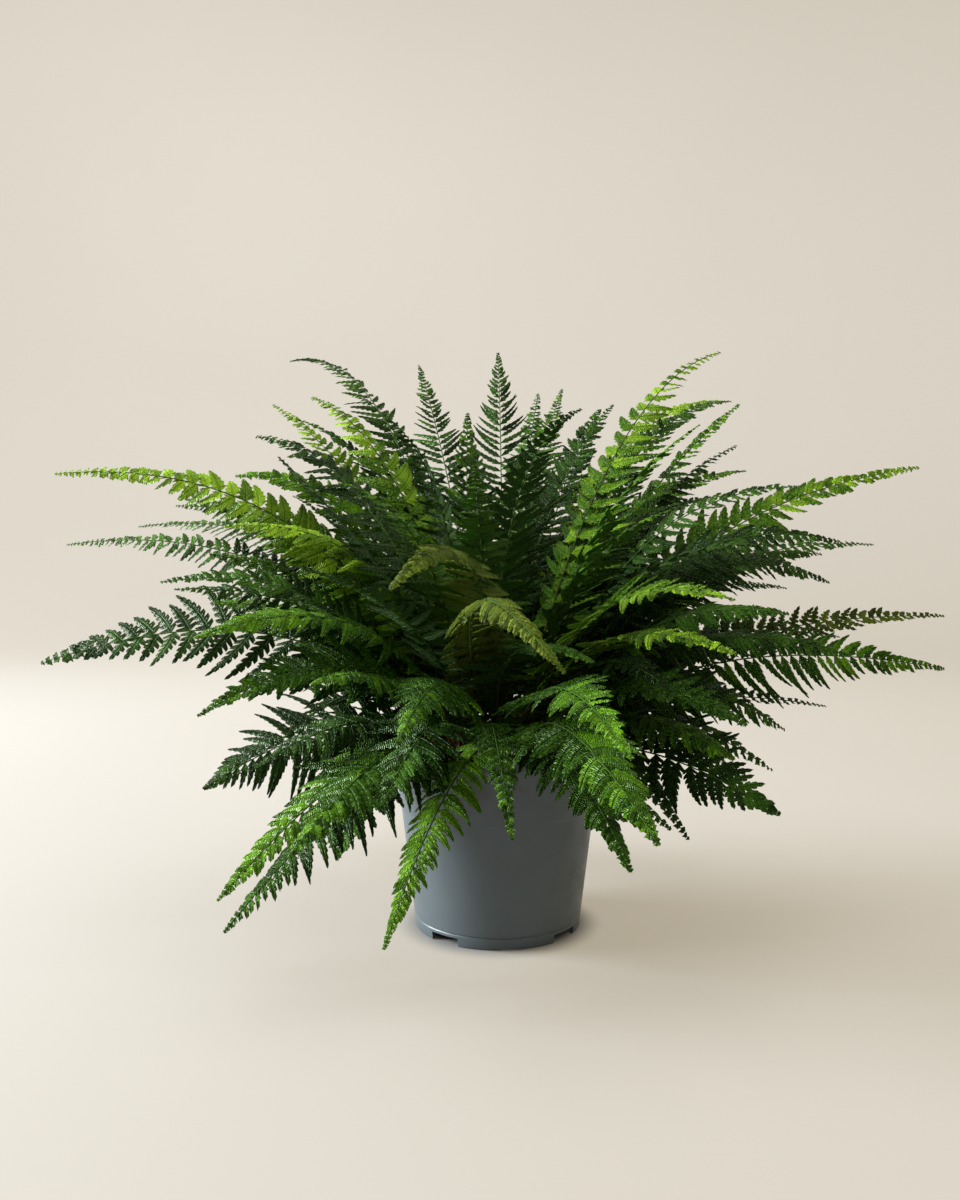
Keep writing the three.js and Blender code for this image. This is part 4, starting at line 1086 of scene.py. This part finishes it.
def growCrownScales(rng):
    # upright papery scales all over the crown, each a slim closed blade
    r = crownRule
    count = r["scales"]
    radius = (r["radius"] - r["rim"]) * np.sqrt(rng.random(count))
    turn = rng.uniform(0, 2 * math.pi, count)
    seat = np.stack([radius * np.cos(turn), radius * np.sin(turn), domeHeight(radius) - r["sunk"]], axis=1)
    lean = unit(np.stack([
        rng.normal(0, r["lean"], count) + r["outward"] * seat[:, 0] / r["radius"],
        rng.normal(0, r["lean"], count) + r["outward"] * seat[:, 1] / r["radius"], np.ones(count),
    ], axis=1))
    flat = unit(np.cross(lean, rng.normal(0, 1, (count, 3))))
    long = mix(*r["scaleLength"], rng.random(count) ** r["longPower"])[:, None]
    wide = mix(*r["scaleWidth"], rng.random(count))[:, None]
    ridge = seat + lean * long * 0.4 + np.cross(flat, lean) * r["ridge"]
    return slimBlades(seat, flat, wide, ridge, seat + lean * long)


def soilMaterial():
    material, tree = newMaterial("peat_soil")
    patches, grains = noise(tree, 120.0, 4.0), noise(tree, soilRule["grain"])
    color = mixColors(tree, ramp(tree, patches, 0.3, 0.7), soilRule["dark"], soilRule["brown"])
    straw = ramp(tree, grains, 0.62, 0.7, 0.0, soilRule["strawShare"])
    color = mixColors(tree, straw, color, soilRule["straw"])
    plainSurface(tree, color, soilRule["roughness"], bumpFrom(tree, grains, 0.8, soilRule["grainDepth"]))
    return material


def crownMaterial():
    material, tree = newMaterial("crown_fibre")
    patches, grains = noise(tree, 90.0, 4.0), noise(tree, crownRule["grain"])
    color = mixColors(tree, ramp(tree, patches, 0.35, 0.65), crownRule["dark"], crownRule["rust"])
    plainSurface(tree, color, crownRule["roughness"], bumpFrom(tree, grains, 0.7, crownRule["grainDepth"]))
    return material


finePot = addPiece("finePot", *growTurned(potProfile(), potRule["columns"]), [potMaterial()])
cutters = [blockCutter(cut, direction) for cut in (potRule["notch"], potRule["vent"])
           for direction in cut["directions"]]
cutters += [roundCutter(potRule["drain"], number) for number in range(potRule["drain"]["count"])]
cutThrough(finePot, cutters)
dress(finePot, "pot")
soilPoints, soilFaces = addCrumbs(*growSoil(), np.random.default_rng(soilRule["crumbSeed"]))
dress(addPiece("fineSoil", soilPoints, soilFaces, [soilMaterial()], sharp=60), "soil")
crownPoints, crownFaces = growCrown()
scalePoints, scaleFaces = growCrownScales(np.random.default_rng(crownRule["scaleSeed"]))
crownSlots = np.concatenate([np.zeros(len(crownFaces)), np.ones(len(scaleFaces))])
fineCrown = addPiece("fineCrown", np.vstack([crownPoints, scalePoints]),
                     np.vstack([crownFaces, scaleFaces + len(crownPoints)]), [crownMaterial(), scales],
                     crownSlots, sharp=60)
dress(fineCrown, "crown")
print("pot, soil and crown ready,", len(finePot.data.polygons), len(soilFaces),
      len(crownFaces) + len(scaleFaces), "triangles")


# the stage: a round floor that turns up into a wall; metres from here on
stageLook = {
    "floorColor": (0.137, 0.139, 0.143), "dimmer": 0.97, "roughness": 0.75,
    # the glow is painted light on the floor and wall, and it fades out under the pot as a painted shadow, in
    # metres from the middle
    "glow": 0.395, "glowColor": (1.0, 0.875, 0.66), "paintedFootShadow": (0.064, 0.098),
    "rings": (1.0, 2.0, 2.8), "curve": 1.2, "curveSteps": 12, "wallTop": 4.2, "sides": 96,
}


def stageMesh():
    look, sides = stageLook, stageLook["sides"]
    flat = look["rings"][-1]
    profile = [(radius, 0.0) for radius in look["rings"]]
    for i in range(1, look["curveSteps"] + 1):
        angle = math.radians(90 * i / look["curveSteps"])
        profile.append((flat + look["curve"] * math.sin(angle), look["curve"] * (1 - math.cos(angle))))
    profile.append((flat + look["curve"], look["wallTop"]))
    points = [(0, 0, 0)]
    for radius, height in profile:
        for j in range(sides):
            turn = 2 * math.pi * j / sides
            points.append((radius * math.cos(turn), radius * math.sin(turn), height))
    faces = [(0, 1 + j, 1 + (j + 1) % sides) for j in range(sides)]
    for i in range(len(profile) - 1):
        for j in range(sides):
            a, b = 1 + i * sides + j, 1 + i * sides + (j + 1) % sides
            faces.append((a, a + sides, b + sides, b))
    mesh = bpy.data.meshes.new("studioFloor")
    mesh.from_pydata(points, [], faces)
    mesh.polygons.foreach_set("use_smooth", np.ones(len(mesh.polygons), bool))
    return mesh


def floorMaterial():
    # painted light: the glow stands for the room's light, and it fades to a painted shadow under the pot
    look = stageLook
    material, tree = newMaterial("studio_floor")
    color = mixColors(tree, ramp(tree, noise(tree, 1.2, 2.0), 0.3, 0.7), look["floorColor"],
                      tuple(look["dimmer"] * c for c in look["floorColor"]))
    place = node(tree, "TexCoord").outputs["Object"]
    fromPot = node(tree, "VectorMath", {"operation": "LENGTH"}, {"Vector": place}).outputs["Value"]
    body = node(tree, "BsdfPrincipled", None, {
        "Base Color": color, "Roughness": look["roughness"], "Emission Color": rgb(look["glowColor"]),
        "Emission Strength": ramp(tree, fromPot, *look["paintedFootShadow"], 0.0, look["glow"]),
    })
    node(tree, "OutputMaterial", None, {"Surface": body.outputs[0]})
    return material


studioMesh = stageMesh()
studioMesh.materials.append(floorMaterial())
studioFloor = bpy.data.objects.new("studioFloor", studioMesh)
bpy.context.scene.collection.objects.link(studioFloor)

lightLook = {
    "window": {
        "place": (-3.0, 0.2, 1.25), "aim": (0, 0, 0.3), "size": 1.4, "power": 375,
        "color": (0.95, 0.985, 1.0),
    },
    "top": {
        "place": (-0.7, -0.9, 2.4), "aim": (0, 0, 0.3), "size": 1.1, "power": 22,
        "color": (1.0, 0.99, 0.97),
    },
    "over": {
        "place": (0.35, -0.1, 3.3), "aim": (0.25, -0.1, 0), "size": 1.9, "power": 74,
        "color": (1.0, 0.95, 0.88),
    },
    "wall": {
        "place": (-0.9, 1.4, 2.7), "aim": (-0.5, 4.2, 0.9), "size": 1.8, "power": 98,
        "color": (1.0, 0.98, 0.95),
    },
}
worldLook = {"color": (1.0, 0.97, 0.93), "strength": 0.06}


def addLight(name, look):
    data = bpy.data.lights.new(name, "AREA")
    data.shape = "SQUARE"
    data.size = look["size"]
    data.energy = look["power"]
    data.color = look["color"]
    lamp = bpy.data.objects.new(name, data)
    lamp.location = look["place"]
    lamp.rotation_euler = (Vector(look["aim"]) - Vector(look["place"])).to_track_quat("-Z", "Y").to_euler()
    bpy.context.scene.collection.objects.link(lamp)


for name, look in lightLook.items():
    addLight(name + "Light", look)
world = bpy.data.worlds.new("studioWorld")
world.use_nodes = True
background = world.node_tree.nodes["Background"]
background.inputs["Color"].default_value = rgb(worldLook["color"])
background.inputs["Strength"].default_value = worldLook["strength"]
bpy.context.scene.world = world

cameraLook = {"place": (-0.016, -0.945, 0.338), "pitchDown": 2.73, "lens": 31.5, "sensor": 36}
cameraData = bpy.data.cameras.new("camera")
cameraData.lens = cameraLook["lens"]
cameraData.sensor_width = cameraLook["sensor"]
camera = bpy.data.objects.new("camera", cameraData)
camera.location = cameraLook["place"]
camera.rotation_euler = (math.radians(90 - cameraLook["pitchDown"]), 0, 0)
bpy.context.scene.collection.objects.link(camera)
bpy.context.scene.camera = camera
bpy.context.scene.view_settings.view_transform = "Standard"
print("stage, lights and camera ready")
